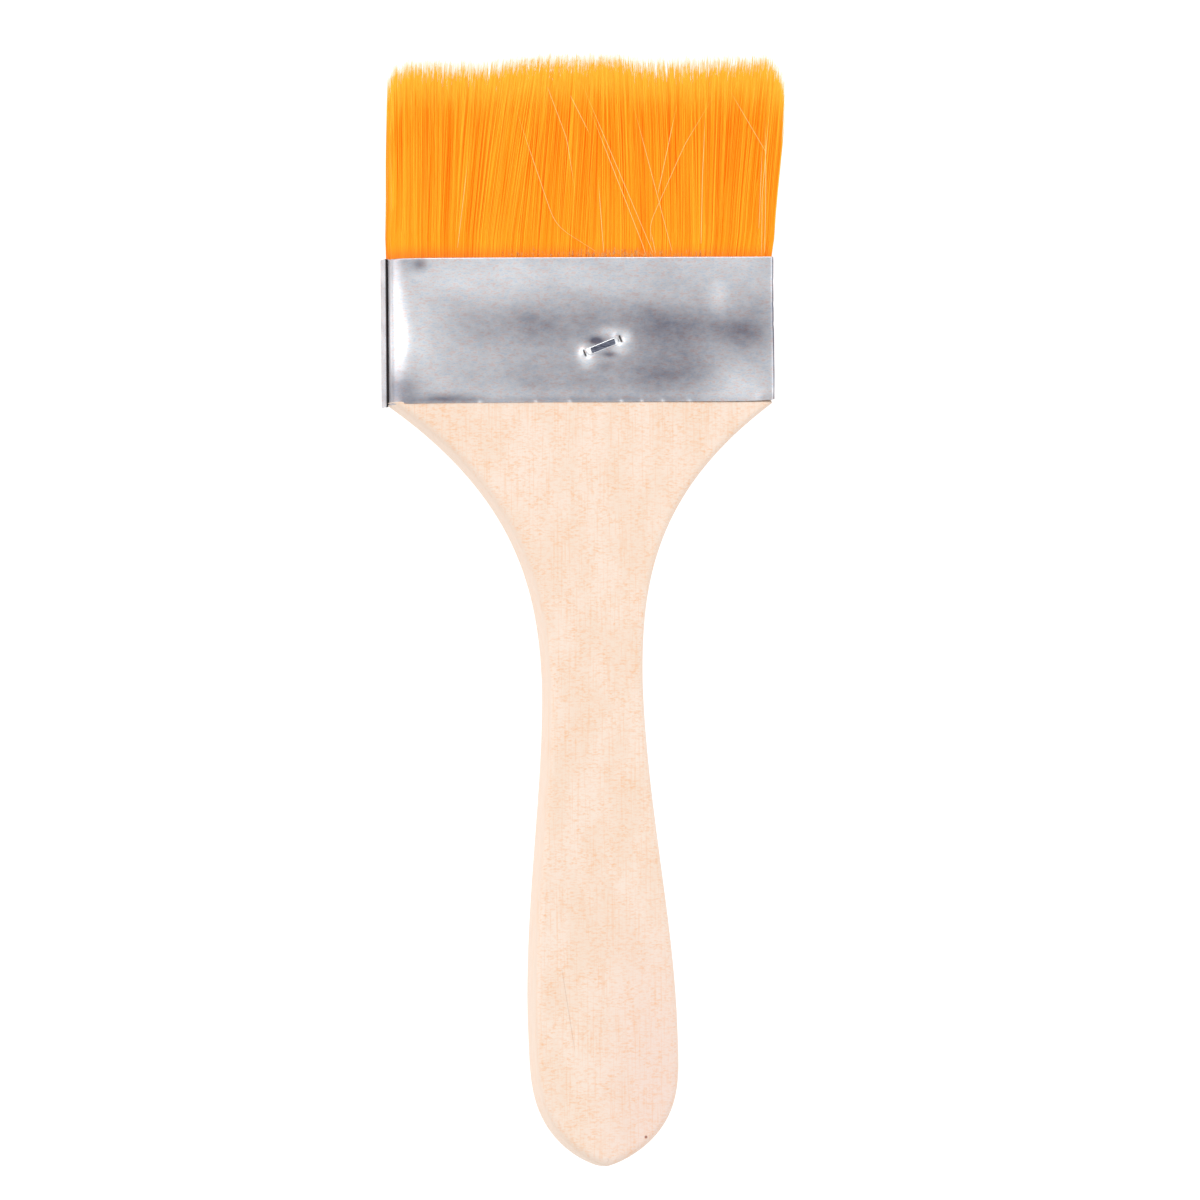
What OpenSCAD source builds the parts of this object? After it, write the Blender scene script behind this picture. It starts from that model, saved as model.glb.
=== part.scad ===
// Flat pastry brush: a wide band of filaments held in a folded tinplate
// ferrule, which is stapled to the tongue of a flat wooden handle.
// Millimetres. The brush lies on its back: +Y runs to the filament tips,
// +X to the right and +Z out of the front face. The origin is the centre
// of the ferrule's back face, on the plane that the brush rests on.

/* [Ferrule] */
// Outside width of the ferrule
ferrule_w = 77.2; // [60:0.1:90]
// Outside thickness of the ferrule
ferrule_t = 9.5; // [8:0.1:12]
// Length of the ferrule along the brush
ferrule_l = 28.5; // [26:0.5:34]
// Thickness of the tinplate sheet
sheet_t = 0.3; // [0.2:0.05:0.4]
// Outside radius of the four bends
bend_r = 1; // [0.8:0.1:1.5]
// Width of the crevice between the two hooks of the lock seam
seam_gap = 0.4; // [0.3:0.05:0.6]
// Height of the crevice above the back face
seam_z = 4.8; // [4:0.1:5.5]
// Width of the interlocked hooks inside the wall
seam_hook_w = 5; // [4:0.5:6]

/* [Handle] */
// Length of handle that shows below the ferrule
handle_l = 149.6; // [130:0.1:180]
// Width of the waist
waist_w = 18.9; // [16:0.1:24]
// Distance from the ferrule to the waist
waist_s = 55.5; // [45:0.5:65]
// Width of the grip
grip_w = 28.6; // [24:0.1:34]
// Distance from the ferrule to the widest part of the grip
grip_s = 120.5; // [100:0.5:124]
// Sideways drift of the centre line for each millimetre down the handle
handle_lean = 0.031; // [0:0.001:0.05]
// Extra drift to the right about the waist
waist_bow = 0.65; // [0:0.05:1.5]
// Distance that the tip is turned back to the left
tip_shift = 1; // [0:0.1:2]
// Radius that eases the long edges
edge_r = 1.5; // [1:0.1:3]
// Depth that the tongue reaches into the ferrule
tongue_l = 15.75; // [14:0.25:16]

/* [Staples] */
// Width over the two legs
staple_w = 7.5; // [6:0.1:9]
// Width of the flat wire
wire_w = 1.3; // [1:0.1:1.5]
// Thickness of the flat wire
wire_t = 0.6; // [0.4:0.1:0.8]
// Length of each leg under the crown
leg_l = 5; // [3:0.5:6]

/* [Filaments] */
// Longest free length, from the ferrule's mouth to the tips
free_l = 39.3; // [30:0.1:50]
// Distance that the outer tips stand below the longest ones
crown_drop = 1.4; // [0:0.1:3]
// Spread of the right edge between the mouth and the tips
spread_right = 3.3; // [0:0.1:6]
// Inward lean of the left edge between the mouth and the tips
lean_left = 0.9; // [0:0.1:2]
// Thickness of the strip that parts the two banks
spacer_t = 1.5; // [1:0.1:2.5]
// Thickness of the clear resin between the tongue and the roots
resin_l = 2.5; // [1:0.5:3]
// Height of the flexing axis above the ferrule's mouth
flex_rise = 1.6; // [1.5:0.1:2.5]
// Running clearance round the foot of the flexing filaments
flex_gap = 0.25; // [0.2:0.05:0.4]

/* [Hidden] */
$fn = 48;
eps = 0.01;
mouth_y = ferrule_l / 2;
heel_y = -ferrule_l / 2;
inner_w = ferrule_w - 2 * sheet_t;
inner_t = ferrule_t - 2 * sheet_t;
mid_z = ferrule_t / 2;
// Inner face of the lock seam on the left narrow side
lock_x = -inner_w / 2 + 2 * sheet_t;
tongue_top = heel_y + tongue_l;
root_y = tongue_top + resin_l;
flex_y = mouth_y + flex_rise;
bank_r = inner_t / 2 - flex_gap;
root_top = mouth_y - 0.5;
// Where the rounded end of the handle begins, as a distance down it
cap_s = handle_l - 24.7;
side_steps = 54;
ease_steps = 4;

function smooth(u) = let (v = min(max(u, 0), 1)) v * v * (3 - 2 * v);

// Half the handle's width at distance s below the ferrule: a steep fall
// from shoulder to waist, an S-curve out to the grip and a softly pointed end.
function fall(u) = u >= 1 ? 0 : pow((1 - u) * (1 - 0.7 * u), 1.6);
function swell(v) = 0.85 * smooth(v) + 0.15 * min(max(v, 0), 1);
function end_share(s) = min(max((s - cap_s) / (handle_l - cap_s), 0), 1);
function round_end(t) = pow(max(1 - pow(t, 3.2), 0), 0.76);
function half_width(s) =
    (waist_w / 2 + (inner_w - waist_w) / 2 * fall(s / waist_s)
     + (grip_w - waist_w) / 2 * swell((s - waist_s) / (grip_s - waist_s)))
    * round_end(end_share(s));
// The centre line leans steadily, bows a little about the waist and turns
// back at the tip.
function centre_x(s) = handle_lean * s + waist_bow * exp(-pow((s - 45) / 34, 2))
    - tip_shift * pow(end_share(s), 3);

// Stations crowd together towards the round end, where the outline turns.
function station(i) = 0.6 + (handle_l - 0.6) * sin(90 * i / side_steps);
function side_point(i, side) =
    let (s = station(i)) [centre_x(s) + side * half_width(s), heel_y - s];
handle_outline = concat(
    [[lock_x, tongue_top], [lock_x, heel_y]],
    [for (i = [0 : side_steps]) side_point(i, -1)],
    [for (i = [side_steps - 1 : -1 : 0]) side_point(i, 1)],
    [[inner_w / 2, heel_y], [inner_w / 2, tongue_top]]);

// Inward unit normal of a loop of points that runs anticlockwise.
function inward(loop, i) =
    let (n = len(loop),
         d = loop[(i + 1) % n] - loop[(i + n - 1) % n])
    [-d[1], d[0]] / norm(d);

// Plate with quarter-round edges: each ring is the outline moved inwards
// along its normals by edge_r times one minus the cosine of the ring's angle.
function ease_rings(low, high) = concat(
    [for (k = [ease_steps : -1 : 0]) let (a = 90 * k / ease_steps)
        [edge_r * (1 - cos(a)), low + edge_r * (1 - sin(a))]],
    [for (k = [0 : ease_steps]) let (a = 90 * k / ease_steps)
        [edge_r * (1 - cos(a)), high - edge_r * (1 - sin(a))]]);

// The loop's first and last points, second and last but one, and so on face
// each other across the plate, so its flat faces are strips between them.
function strips(n) = concat(
    [for (i = [0 : (n - 5) / 2]) [i, i + 1, n - 2 - i, n - 1 - i]],
    [let (m = (n - 1) / 2) [m - 1, m, m + 1]]);
function turned(faces, shift) = [for (f = faces)
    [for (j = [len(f) - 1 : -1 : 0]) f[j] + shift]];

module eased_plate(loop, low, high) {
    rings = ease_rings(low, high);
    n = len(loop);
    last = len(rings) - 1;
    points = [for (ring = rings) for (i = [0 : n - 1])
        let (p = loop[i] + ring[0] * inward(loop, i)) [p[0], p[1], ring[1]]];
    walls = [for (r = [0 : last - 1]) for (i = [0 : n - 1])
        let (a = r * n + i, b = r * n + (i + 1) % n) [a, a + n, b + n, b]];
    polyhedron(points, concat(strips(n), walls, turned(strips(n), last * n)));
}

// Two-dimensional rectangle with true round corners, centred on x and
// standing on the x axis.
module round_rect(w, h, r) {
    translate([-w / 2 + r, 0]) square([w - 2 * r, h]);
    translate([-w / 2, r]) square([w, h - 2 * r]);
    for (x = [-w / 2 + r, w / 2 - r], z = [r, h - r]) translate([x, z]) circle(r);
}

// Extrudes a profile drawn in x and z along +Y, from y0 to y1.
module along_y(y0, y1) {
    translate([0, y1, 0]) rotate([90, 0, 0]) linear_extrude(y1 - y0) children();
}

// Extrudes a profile drawn in y and z along +X, from x0 to x1.
module along_x(x0, x1) {
    translate([x0, 0, 0]) rotate([90, 0, 90]) linear_extrude(x1 - x0) children();
}

// Flat-wire staple with its crown's outer face at z = 0 and legs along -Z.
module staple() {
    translate([-staple_w / 2, -wire_w / 2, -wire_t]) cube([staple_w, wire_w, wire_t]);
    for (x = [-staple_w / 2, staple_w / 2 - wire_t])
        translate([x, -wire_w / 2, -wire_t - leg_l]) cube([wire_t, wire_w, leg_l + eps]);
}

module place_front() { translate([4, -3.2, ferrule_t]) rotate([0, 0, 21.5]) children(); }
module place_back() { translate([-7, -4.5, 0]) rotate([180, 0, -12]) children(); }

module handle() {
    color([0.97, 0.86, 0.79]) difference() {
        eased_plate(handle_outline, sheet_t, ferrule_t - sheet_t);
        place_front() staple();
        place_back() staple();
    }
}

// One sheet folded into a flat tube. Its ends hook into each other on the
// left narrow side and leave a crevice between the hooks.
module ferrule() {
    color([0.78, 0.78, 0.82]) difference() {
        along_y(heel_y, mouth_y) difference() {
            round_rect(ferrule_w, ferrule_t, bend_r);
            difference() {
                translate([0, sheet_t]) round_rect(inner_w, inner_t, bend_r - sheet_t);
                translate([-inner_w / 2 - eps, seam_z - seam_hook_w / 2])
                    square([2 * sheet_t + eps, seam_hook_w]);
            }
            translate([-ferrule_w / 2 - eps, seam_z - seam_gap / 2])
                square([sheet_t + eps, seam_gap]);
        }
        place_front() staple();
        place_back() staple();
    }
}

module staple_front() { color([0.7, 0.7, 0.74]) place_front() staple(); }

module staple_back() { color([0.7, 0.7, 0.74]) place_back() staple(); }

// The ferrule's inside between two heights, clear of the lock seam.
module ferrule_fill(y0, y1) {
    along_y(y0, y1) difference() {
        translate([0, sheet_t]) round_rect(inner_w, inner_t, bend_r - sheet_t);
        translate([-inner_w / 2 - eps, seam_z - seam_hook_w / 2])
            square([2 * sheet_t + eps, seam_hook_w]);
    }
}

module setting_resin() {
    color([0.55, 0.33, 0.16]) ferrule_fill(tongue_top, root_y);
}

// Round space that the foot of the flexing filaments turns in.
module flex_space(radius) {
    along_x(-ferrule_w, ferrule_w) translate([flex_y, mid_z]) circle(radius);
}

module spacer_strip() {
    color([0.8, 0.66, 0.45]) difference() {
        translate([lock_x, root_y, mid_z - spacer_t / 2])
            cube([inner_w / 2 - lock_x, root_top - root_y, spacer_t]);
        flex_space(inner_t / 2 + 0.1);
    }
}

module filament_roots() {
    color([0.86, 0.5, 0.2]) difference() {
        ferrule_fill(root_y, root_top);
        translate([-ferrule_w, root_y - 1, mid_z - spacer_t / 2])
            cube([2 * ferrule_w, ferrule_l, spacer_t]);
        flex_space(inner_t / 2 + 0.1);
    }
}

// Width of a bank seen from the front: straight until its turning foot is
// clear of the mouth, then leaning and spreading to a low crown of tips.
module bank_face() {
    left = lock_x + 0.2;
    right = inner_w / 2 - 0.3;
    tip_y = mouth_y + free_l;
    linear_extrude(ferrule_t) polygon([
        [left, flex_y - bank_r], [right, flex_y - bank_r],
        [right, flex_y + 1.5], [right + 0.8, flex_y + 2.5],
        [right + spread_right, tip_y - crown_drop - 1.5],
        [right + spread_right - 1.5, tip_y - crown_drop],
        [0, tip_y],
        [left + lean_left + 1, tip_y - crown_drop - 0.8],
        [left + lean_left, tip_y - crown_drop - 1.8]]);
}

// Bank seen from the side, side = 1 for the front one: a straight sheaf that
// thins a little to its tip. Its foot is cut round about the flexing axis.
module bank_side(side) {
    foot = flex_y - 2 * bank_r;
    tip = flex_y + free_l;
    inner = mid_z + side * spacer_t / 2;
    outer = mid_z + side * bank_r;
    difference() {
        polygon([[foot, inner], [flex_y, inner], [tip, mid_z + side * 0.1],
                 [tip, outer - side * 0.4], [flex_y + 5, outer], [foot, outer]]);
        difference() {
            translate([foot - 1, 0]) square([2 * bank_r + 1, ferrule_t]);
            translate([flex_y, mid_z]) circle(bank_r);
        }
    }
}

module bank(side) {
    intersection() {
        along_x(-ferrule_w, ferrule_w) bank_side(side);
        bank_face();
    }
}

module filaments_front() { color([0.99, 0.6, 0.2]) bank(1); }

module filaments_back() { color([0.95, 0.55, 0.16]) bank(-1); }

handle();
ferrule();
staple_front();
staple_back();
setting_resin();
spacer_strip();
filament_roots();
filaments_front();
filaments_back();
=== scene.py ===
"""Flat pastry brush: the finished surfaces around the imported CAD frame.

The brush lies on its back. +Y runs to the filament tips, +X to the right and
+Z out of the front face. Sizes in the classes are millimetres; a mesh is
turned to metres when it is made.
"""

import logging
import math
from collections.abc import Sequence
from dataclasses import dataclass
from enum import Enum

import bmesh
import bpy
import numpy as np
from mathutils import Matrix, Vector


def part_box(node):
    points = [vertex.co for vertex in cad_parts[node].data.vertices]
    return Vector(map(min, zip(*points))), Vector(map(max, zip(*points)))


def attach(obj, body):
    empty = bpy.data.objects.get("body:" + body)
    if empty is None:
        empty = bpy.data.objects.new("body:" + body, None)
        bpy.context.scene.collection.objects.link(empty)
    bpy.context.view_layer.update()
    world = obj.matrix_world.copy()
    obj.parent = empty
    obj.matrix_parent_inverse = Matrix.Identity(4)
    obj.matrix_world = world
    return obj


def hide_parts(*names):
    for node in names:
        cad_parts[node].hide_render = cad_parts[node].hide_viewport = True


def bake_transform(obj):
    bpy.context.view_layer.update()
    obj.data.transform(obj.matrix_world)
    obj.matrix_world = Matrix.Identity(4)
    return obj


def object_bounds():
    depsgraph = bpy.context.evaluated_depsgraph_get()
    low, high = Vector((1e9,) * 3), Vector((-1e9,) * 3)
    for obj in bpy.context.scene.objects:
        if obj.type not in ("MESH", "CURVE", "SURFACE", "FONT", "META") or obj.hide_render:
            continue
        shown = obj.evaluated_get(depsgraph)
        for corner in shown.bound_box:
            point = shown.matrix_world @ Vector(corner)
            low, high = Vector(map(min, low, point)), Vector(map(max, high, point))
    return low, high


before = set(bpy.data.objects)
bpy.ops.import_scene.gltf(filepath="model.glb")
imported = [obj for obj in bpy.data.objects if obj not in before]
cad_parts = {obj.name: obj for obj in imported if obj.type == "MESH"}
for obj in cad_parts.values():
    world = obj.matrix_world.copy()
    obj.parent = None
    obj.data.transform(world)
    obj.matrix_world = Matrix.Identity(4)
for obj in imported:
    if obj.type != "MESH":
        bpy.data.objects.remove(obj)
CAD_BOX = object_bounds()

LOG = logging.getLogger("pastry_brush")
MM = 0.001


class Body(Enum):
    """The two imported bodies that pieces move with."""

    BRUSH = "brush"
    BRISTLES = "bristles"


class Bank(Enum):
    """Which side of the spacer strip a bank of filaments stands on."""

    FRONT = 1
    BACK = -1


# --------------------------------------------------------------------------
# Numbers and surfaces
# --------------------------------------------------------------------------


def node_box(node: str) -> tuple[np.ndarray, np.ndarray]:
    """Return a CAD node's lowest and highest corner in millimetres."""
    low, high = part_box(node)
    return np.array(low) / MM, np.array(high) / MM


def smooth(value: np.ndarray | float) -> np.ndarray:
    """Ease from 0 to 1: three squares less two cubes of the clamped value."""
    held = np.clip(value, 0.0, 1.0)
    return held * held * (3.0 - 2.0 * held)


def bell(distance: np.ndarray, width: float) -> np.ndarray:
    """Bell curve: e to minus the square of distance over width."""
    return np.exp(-((distance / width) ** 2))


def drift(x: np.ndarray, y: np.ndarray, pitch: tuple[float, float], seed: int) -> np.ndarray:
    """Slow random swell over a surface, between about -1 and 1.

    It is the mean of nine sine waves whose directions and starts are drawn
    from the seed, with wavelengths near the pitch across and along.

    Args:
        x: Places across, in millimetres.
        y: Places along, in millimetres.
        pitch: Typical wavelength across and along.
        seed: Start of the random draw.

    Returns:
        The height of the swell at each place.
    """
    draw = np.random.default_rng(seed)
    total = np.zeros(np.broadcast(x, y).shape)
    for _ in range(9):
        across, along = draw.normal(0.0, 1.0, 2)
        start = draw.uniform(0.0, 2.0 * math.pi)
        total = total + np.sin(2.0 * math.pi * (across * x / pitch[0] + along * y / pitch[1]) + start)
    return total / 3.0


def elliptic_bend(
    centre: tuple[float, float], reach: tuple[float, float], turn: tuple[float, float], steps: int
) -> np.ndarray:
    """Sample a bend of the sheet: a stretch of an ellipse.

    A point is the centre plus the reach times the cosine and sine of the angle.

    Args:
        centre: Centre of the ellipse, in x and z.
        reach: Half widths of the ellipse along x and z.
        turn: First and last angle, in degrees.
        steps: Number of samples.

    Returns:
        Samples as rows of x and z.
    """
    angle = np.radians(np.linspace(*turn, steps))
    return np.stack([centre[0] + reach[0] * np.cos(angle), centre[1] + reach[1] * np.sin(angle)], 1)


def straight(start: tuple[float, float], end: tuple[float, float], spacing: float) -> np.ndarray:
    """Sample a straight stretch, leaving out both of its ends.

    Args:
        start: First end.
        end: Other end.
        spacing: Greatest distance between samples, unless the stretch is very short.

    Returns:
        Samples as rows.
    """
    steps = max(int(math.dist(start, end) / spacing), 2)
    share = np.linspace(0.0, 1.0, steps + 1)[1:-1, None]
    return np.array(start) * (1.0 - share) + np.array(end) * share


def crowded(start: float, end: float, count: int, places: Sequence[tuple[float, float, float]]) -> np.ndarray:
    """Numbers from start to end that stand closer together near some places.

    The density is one plus, for each place, its gain times a bell curve; the
    numbers cut the area under it into equal shares.

    Args:
        start: First number.
        end: Last number.
        count: How many numbers.
        places: For each crowded place its middle, reach and gain.

    Returns:
        The numbers, in order.
    """
    fine = np.linspace(start, end, 4001)
    density = 1.0 + sum(gain * bell(fine - middle, reach) for middle, reach, gain in places)
    area = np.concatenate([[0.0], np.cumsum((density[1:] + density[:-1]) / 2.0)])
    return np.interp(np.linspace(0.0, area[-1], count), area, fine)


def unit(vectors: np.ndarray) -> np.ndarray:
    """Scale each vector along the last axis to length one."""
    return vectors / np.maximum(np.linalg.norm(vectors, axis=-1, keepdims=True), 1e-12)


def grid_faces(rows: int, columns: int, close_rows: bool, close_columns: bool) -> np.ndarray:
    """Join a grid of points, numbered row by row, with four-sided faces.

    Args:
        rows: Number of rows of points.
        columns: Number of points in a row.
        close_rows: Whether the last row joins the first.
        close_columns: Whether the last column joins the first.

    Returns:
        Point numbers, four for each face.
    """
    i = np.arange(rows if close_rows else rows - 1)[:, None]
    j = np.arange(columns if close_columns else columns - 1)[None, :]
    down, right = (i + 1) % rows, (j + 1) % columns
    corners = [i * columns + j, i * columns + right, down * columns + right, down * columns + j]
    return np.stack([np.broadcast_to(c, (i.size, j.size)).ravel() for c in corners], 1)


def make_piece(
    name: str,
    points: np.ndarray,
    faces: np.ndarray | Sequence[Sequence[int]],
    finish: bpy.types.Material,
    merge: float = 0.0,
) -> bpy.types.Object:
    """Put points and faces into a smooth-shaded object.

    Args:
        name: Name of the piece.
        points: Points in millimetres, one to a row.
        faces: Point numbers of each face.
        finish: Material of the piece.
        merge: Distance in millimetres under which points become one.

    Returns:
        The object, at the origin with its place in its mesh.
    """
    mesh = bpy.data.meshes.new(name)
    listed = faces.tolist() if isinstance(faces, np.ndarray) else faces
    mesh.from_pydata((points.reshape(-1, 3) * MM).tolist(), [], listed)
    mesh.update()
    if merge > 0.0:
        weld(mesh, merge * MM)
    mesh.polygons.foreach_set("use_smooth", np.ones(len(mesh.polygons), bool))
    mesh.materials.append(finish)
    piece = bpy.data.objects.new(name, mesh)
    bpy.context.scene.collection.objects.link(piece)
    return piece


def weld(mesh: bpy.types.Mesh, distance: float) -> None:
    """Merge near points, drop flattened faces and turn every face outward.

    Args:
        mesh: The mesh to mend.
        distance: Distance in metres under which points become one.
    """
    work = bmesh.new()
    work.from_mesh(mesh)
    bmesh.ops.remove_doubles(work, verts=work.verts, dist=distance)
    bmesh.ops.dissolve_degenerate(work, edges=work.edges, dist=distance * 0.1)
    bmesh.ops.recalc_face_normals(work, faces=work.faces)
    work.to_mesh(mesh)
    work.free()


def add_point_values(piece: bpy.types.Object, name: str, values: np.ndarray) -> None:
    """Store one number for each point, for a material to read."""
    layer = piece.data.attributes.new(name, "FLOAT", "POINT")
    layer.data.foreach_set("value", values.astype(np.float32).ravel())


def ride(piece: bpy.types.Object, body: Body, slot: str, *nodes: str) -> bpy.types.Object:
    """Fasten a piece to a body and hide the CAD nodes it stands for.

    Args:
        piece: The piece.
        body: Body that it moves with.
        slot: Its material slot; not used.
        nodes: CAD nodes that it replaces, if any.

    Returns:
        The same piece.
    """
    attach(piece, body.value)
    if nodes:
        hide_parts(*nodes)
    return piece


# --------------------------------------------------------------------------
# Finishes
# --------------------------------------------------------------------------


def linear(colour: str) -> tuple[float, float, float, float]:
    """Turn an sRGB hex colour into linear red, green, blue and alpha.

    Args:
        colour: A hash sign and six hex digits.

    Returns:
        Four numbers from 0 to 1.
    """
    parts = [int(colour[k : k + 2], 16) / 255.0 for k in (1, 3, 5)]
    bent = [p / 12.92 if p <= 0.04045 else ((p + 0.055) / 1.055) ** 2.4 for p in parts]
    return bent[0], bent[1], bent[2], 1.0


def add_node(
    tree: bpy.types.NodeTree, kind: str, inputs: dict[str | int, object] | None = None, **settings: object
) -> bpy.types.Node:
    """Add one node with its settings and links.

    Args:
        tree: Node tree that takes the node.
        kind: Node type, such as "ShaderNodeBump".
        inputs: For each input, its value or the output that feeds it.
        settings: The node's own options.

    Returns:
        The node.
    """
    node = tree.nodes.new(kind)
    for option, value in settings.items():
        setattr(node, option, value)
    for key, value in (inputs or {}).items():
        if isinstance(value, bpy.types.NodeSocket):
            tree.links.new(value, node.inputs[key])
        else:
            node.inputs[key].default_value = value
    return node


# Places of the colour sockets on a mix node
MIX_A, MIX_B, MIX_OUT = 6, 7, 2


@dataclass(frozen=True)
class Finish:
    """A surface finish. A subclass draws its colour, roughness and relief."""

    name: str = "finish"
    roughness: float = 0.5

    def material(self) -> bpy.types.Material:
        """Build the material: a principled shader dressed by the subclass.

        Returns:
            The material.
        """
        made = bpy.data.materials.new(self.name)
        made.use_nodes = True
        tree = made.node_tree
        shader = next(n for n in tree.nodes if n.type == "BSDF_PRINCIPLED")
        self.dress(tree, shader)
        return made

    def dress(self, tree: bpy.types.NodeTree, shader: bpy.types.Node) -> None:
        """Feed the shader. The plain finish leaves it as it is."""

    @staticmethod
    def combine(
        tree: bpy.types.NodeTree, operation: str, *values: object, clamp: bool = False
    ) -> bpy.types.NodeSocket:
        """Do one step of arithmetic on one or two values and return the result."""
        inputs = dict(enumerate(values))
        return add_node(tree, "ShaderNodeMath", inputs, operation=operation, use_clamp=clamp).outputs[0]

    @staticmethod
    def mix(
        tree: bpy.types.NodeTree, share: object, first: object, second: object, blend: str = "MIX"
    ) -> bpy.types.NodeSocket:
        """Mix two colours by a share and return the mixed colour."""
        node = add_node(
            tree, "ShaderNodeMix", {0: share, MIX_A: first, MIX_B: second}, data_type="RGBA", blend_type=blend
        )
        return node.outputs[MIX_OUT]

    @staticmethod
    def spread(
        tree: bpy.types.NodeTree,
        value: bpy.types.NodeSocket,
        low: float,
        high: float,
        to: tuple[float, float] = (0.0, 1.0),
    ) -> bpy.types.NodeSocket:
        """Ease a value from low..high to the given range, held at its ends."""
        node = add_node(
            tree,
            "ShaderNodeMapRange",
            {"Value": value, "From Min": low, "From Max": high, "To Min": to[0], "To Max": to[1]},
            interpolation_type="SMOOTHSTEP",
        )
        return node.outputs["Result"]

    @staticmethod
    def cloud(
        tree: bpy.types.NodeTree,
        place: bpy.types.NodeSocket,
        grain_mm: tuple[float, float, float],
        detail: float,
    ) -> bpy.types.NodeSocket:
        """Noise whose features have a given size along each axis.

        Args:
            tree: Node tree.
            place: Place on the object.
            grain_mm: Size of a feature along x, y and z, in millimetres.
            detail: How many finer layers the noise has.

        Returns:
            The noise, from 0 to 1.
        """
        turned = add_node(
            tree, "ShaderNodeMapping", {"Vector": place, "Scale": tuple(1.0 / (g * MM) for g in grain_mm)}
        )
        noise = add_node(
            tree,
            "ShaderNodeTexNoise",
            {"Vector": turned.outputs["Vector"], "Scale": 1.0, "Detail": detail, "Roughness": 0.6},
        )
        return noise.outputs["Fac"]

    def roughen(
        self,
        tree: bpy.types.NodeTree,
        shader: bpy.types.Node,
        pattern: bpy.types.NodeSocket,
        less: float,
        more: float,
    ) -> None:
        """Let the roughness follow a pattern.

        Args:
            tree: Node tree.
            shader: Shader that takes the roughness.
            pattern: The pattern, whose middle stretch is used.
            less: How far below the finish's own roughness it starts.
            more: How far above it ends.
        """
        rough = self.spread(tree, pattern, 0.3, 0.7, (self.roughness - less, self.roughness + more))
        tree.links.new(rough, shader.inputs["Roughness"])

    @staticmethod
    def emboss(
        tree: bpy.types.NodeTree,
        shader: bpy.types.Node,
        height: bpy.types.NodeSocket,
        depth_mm: float,
        strength: float,
    ) -> None:
        """Raise a pattern as fine relief.

        Args:
            tree: Node tree.
            shader: Shader that takes the relief.
            height: The pattern.
            depth_mm: Height of the relief, in millimetres.
            strength: Share of the relief that shows.
        """
        inputs = {"Height": height, "Distance": depth_mm * MM, "Strength": strength}
        bump = add_node(tree, "ShaderNodeBump", inputs)
        tree.links.new(bump.outputs["Normal"], shader.inputs["Normal"])

    @staticmethod
    def facing(tree: bpy.types.NodeTree) -> bpy.types.NodeSocket:
        """How squarely the surface faces up or down.

        Args:
            tree: Node tree.

        Returns:
            0 on a narrow side, 1 on a face.
        """
        normal = add_node(tree, "ShaderNodeTexCoord").outputs["Normal"]
        parts = add_node(tree, "ShaderNodeSeparateXYZ", {"Vector": normal})
        return Finish.combine(tree, "ABSOLUTE", parts.outputs["Z"])


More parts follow.
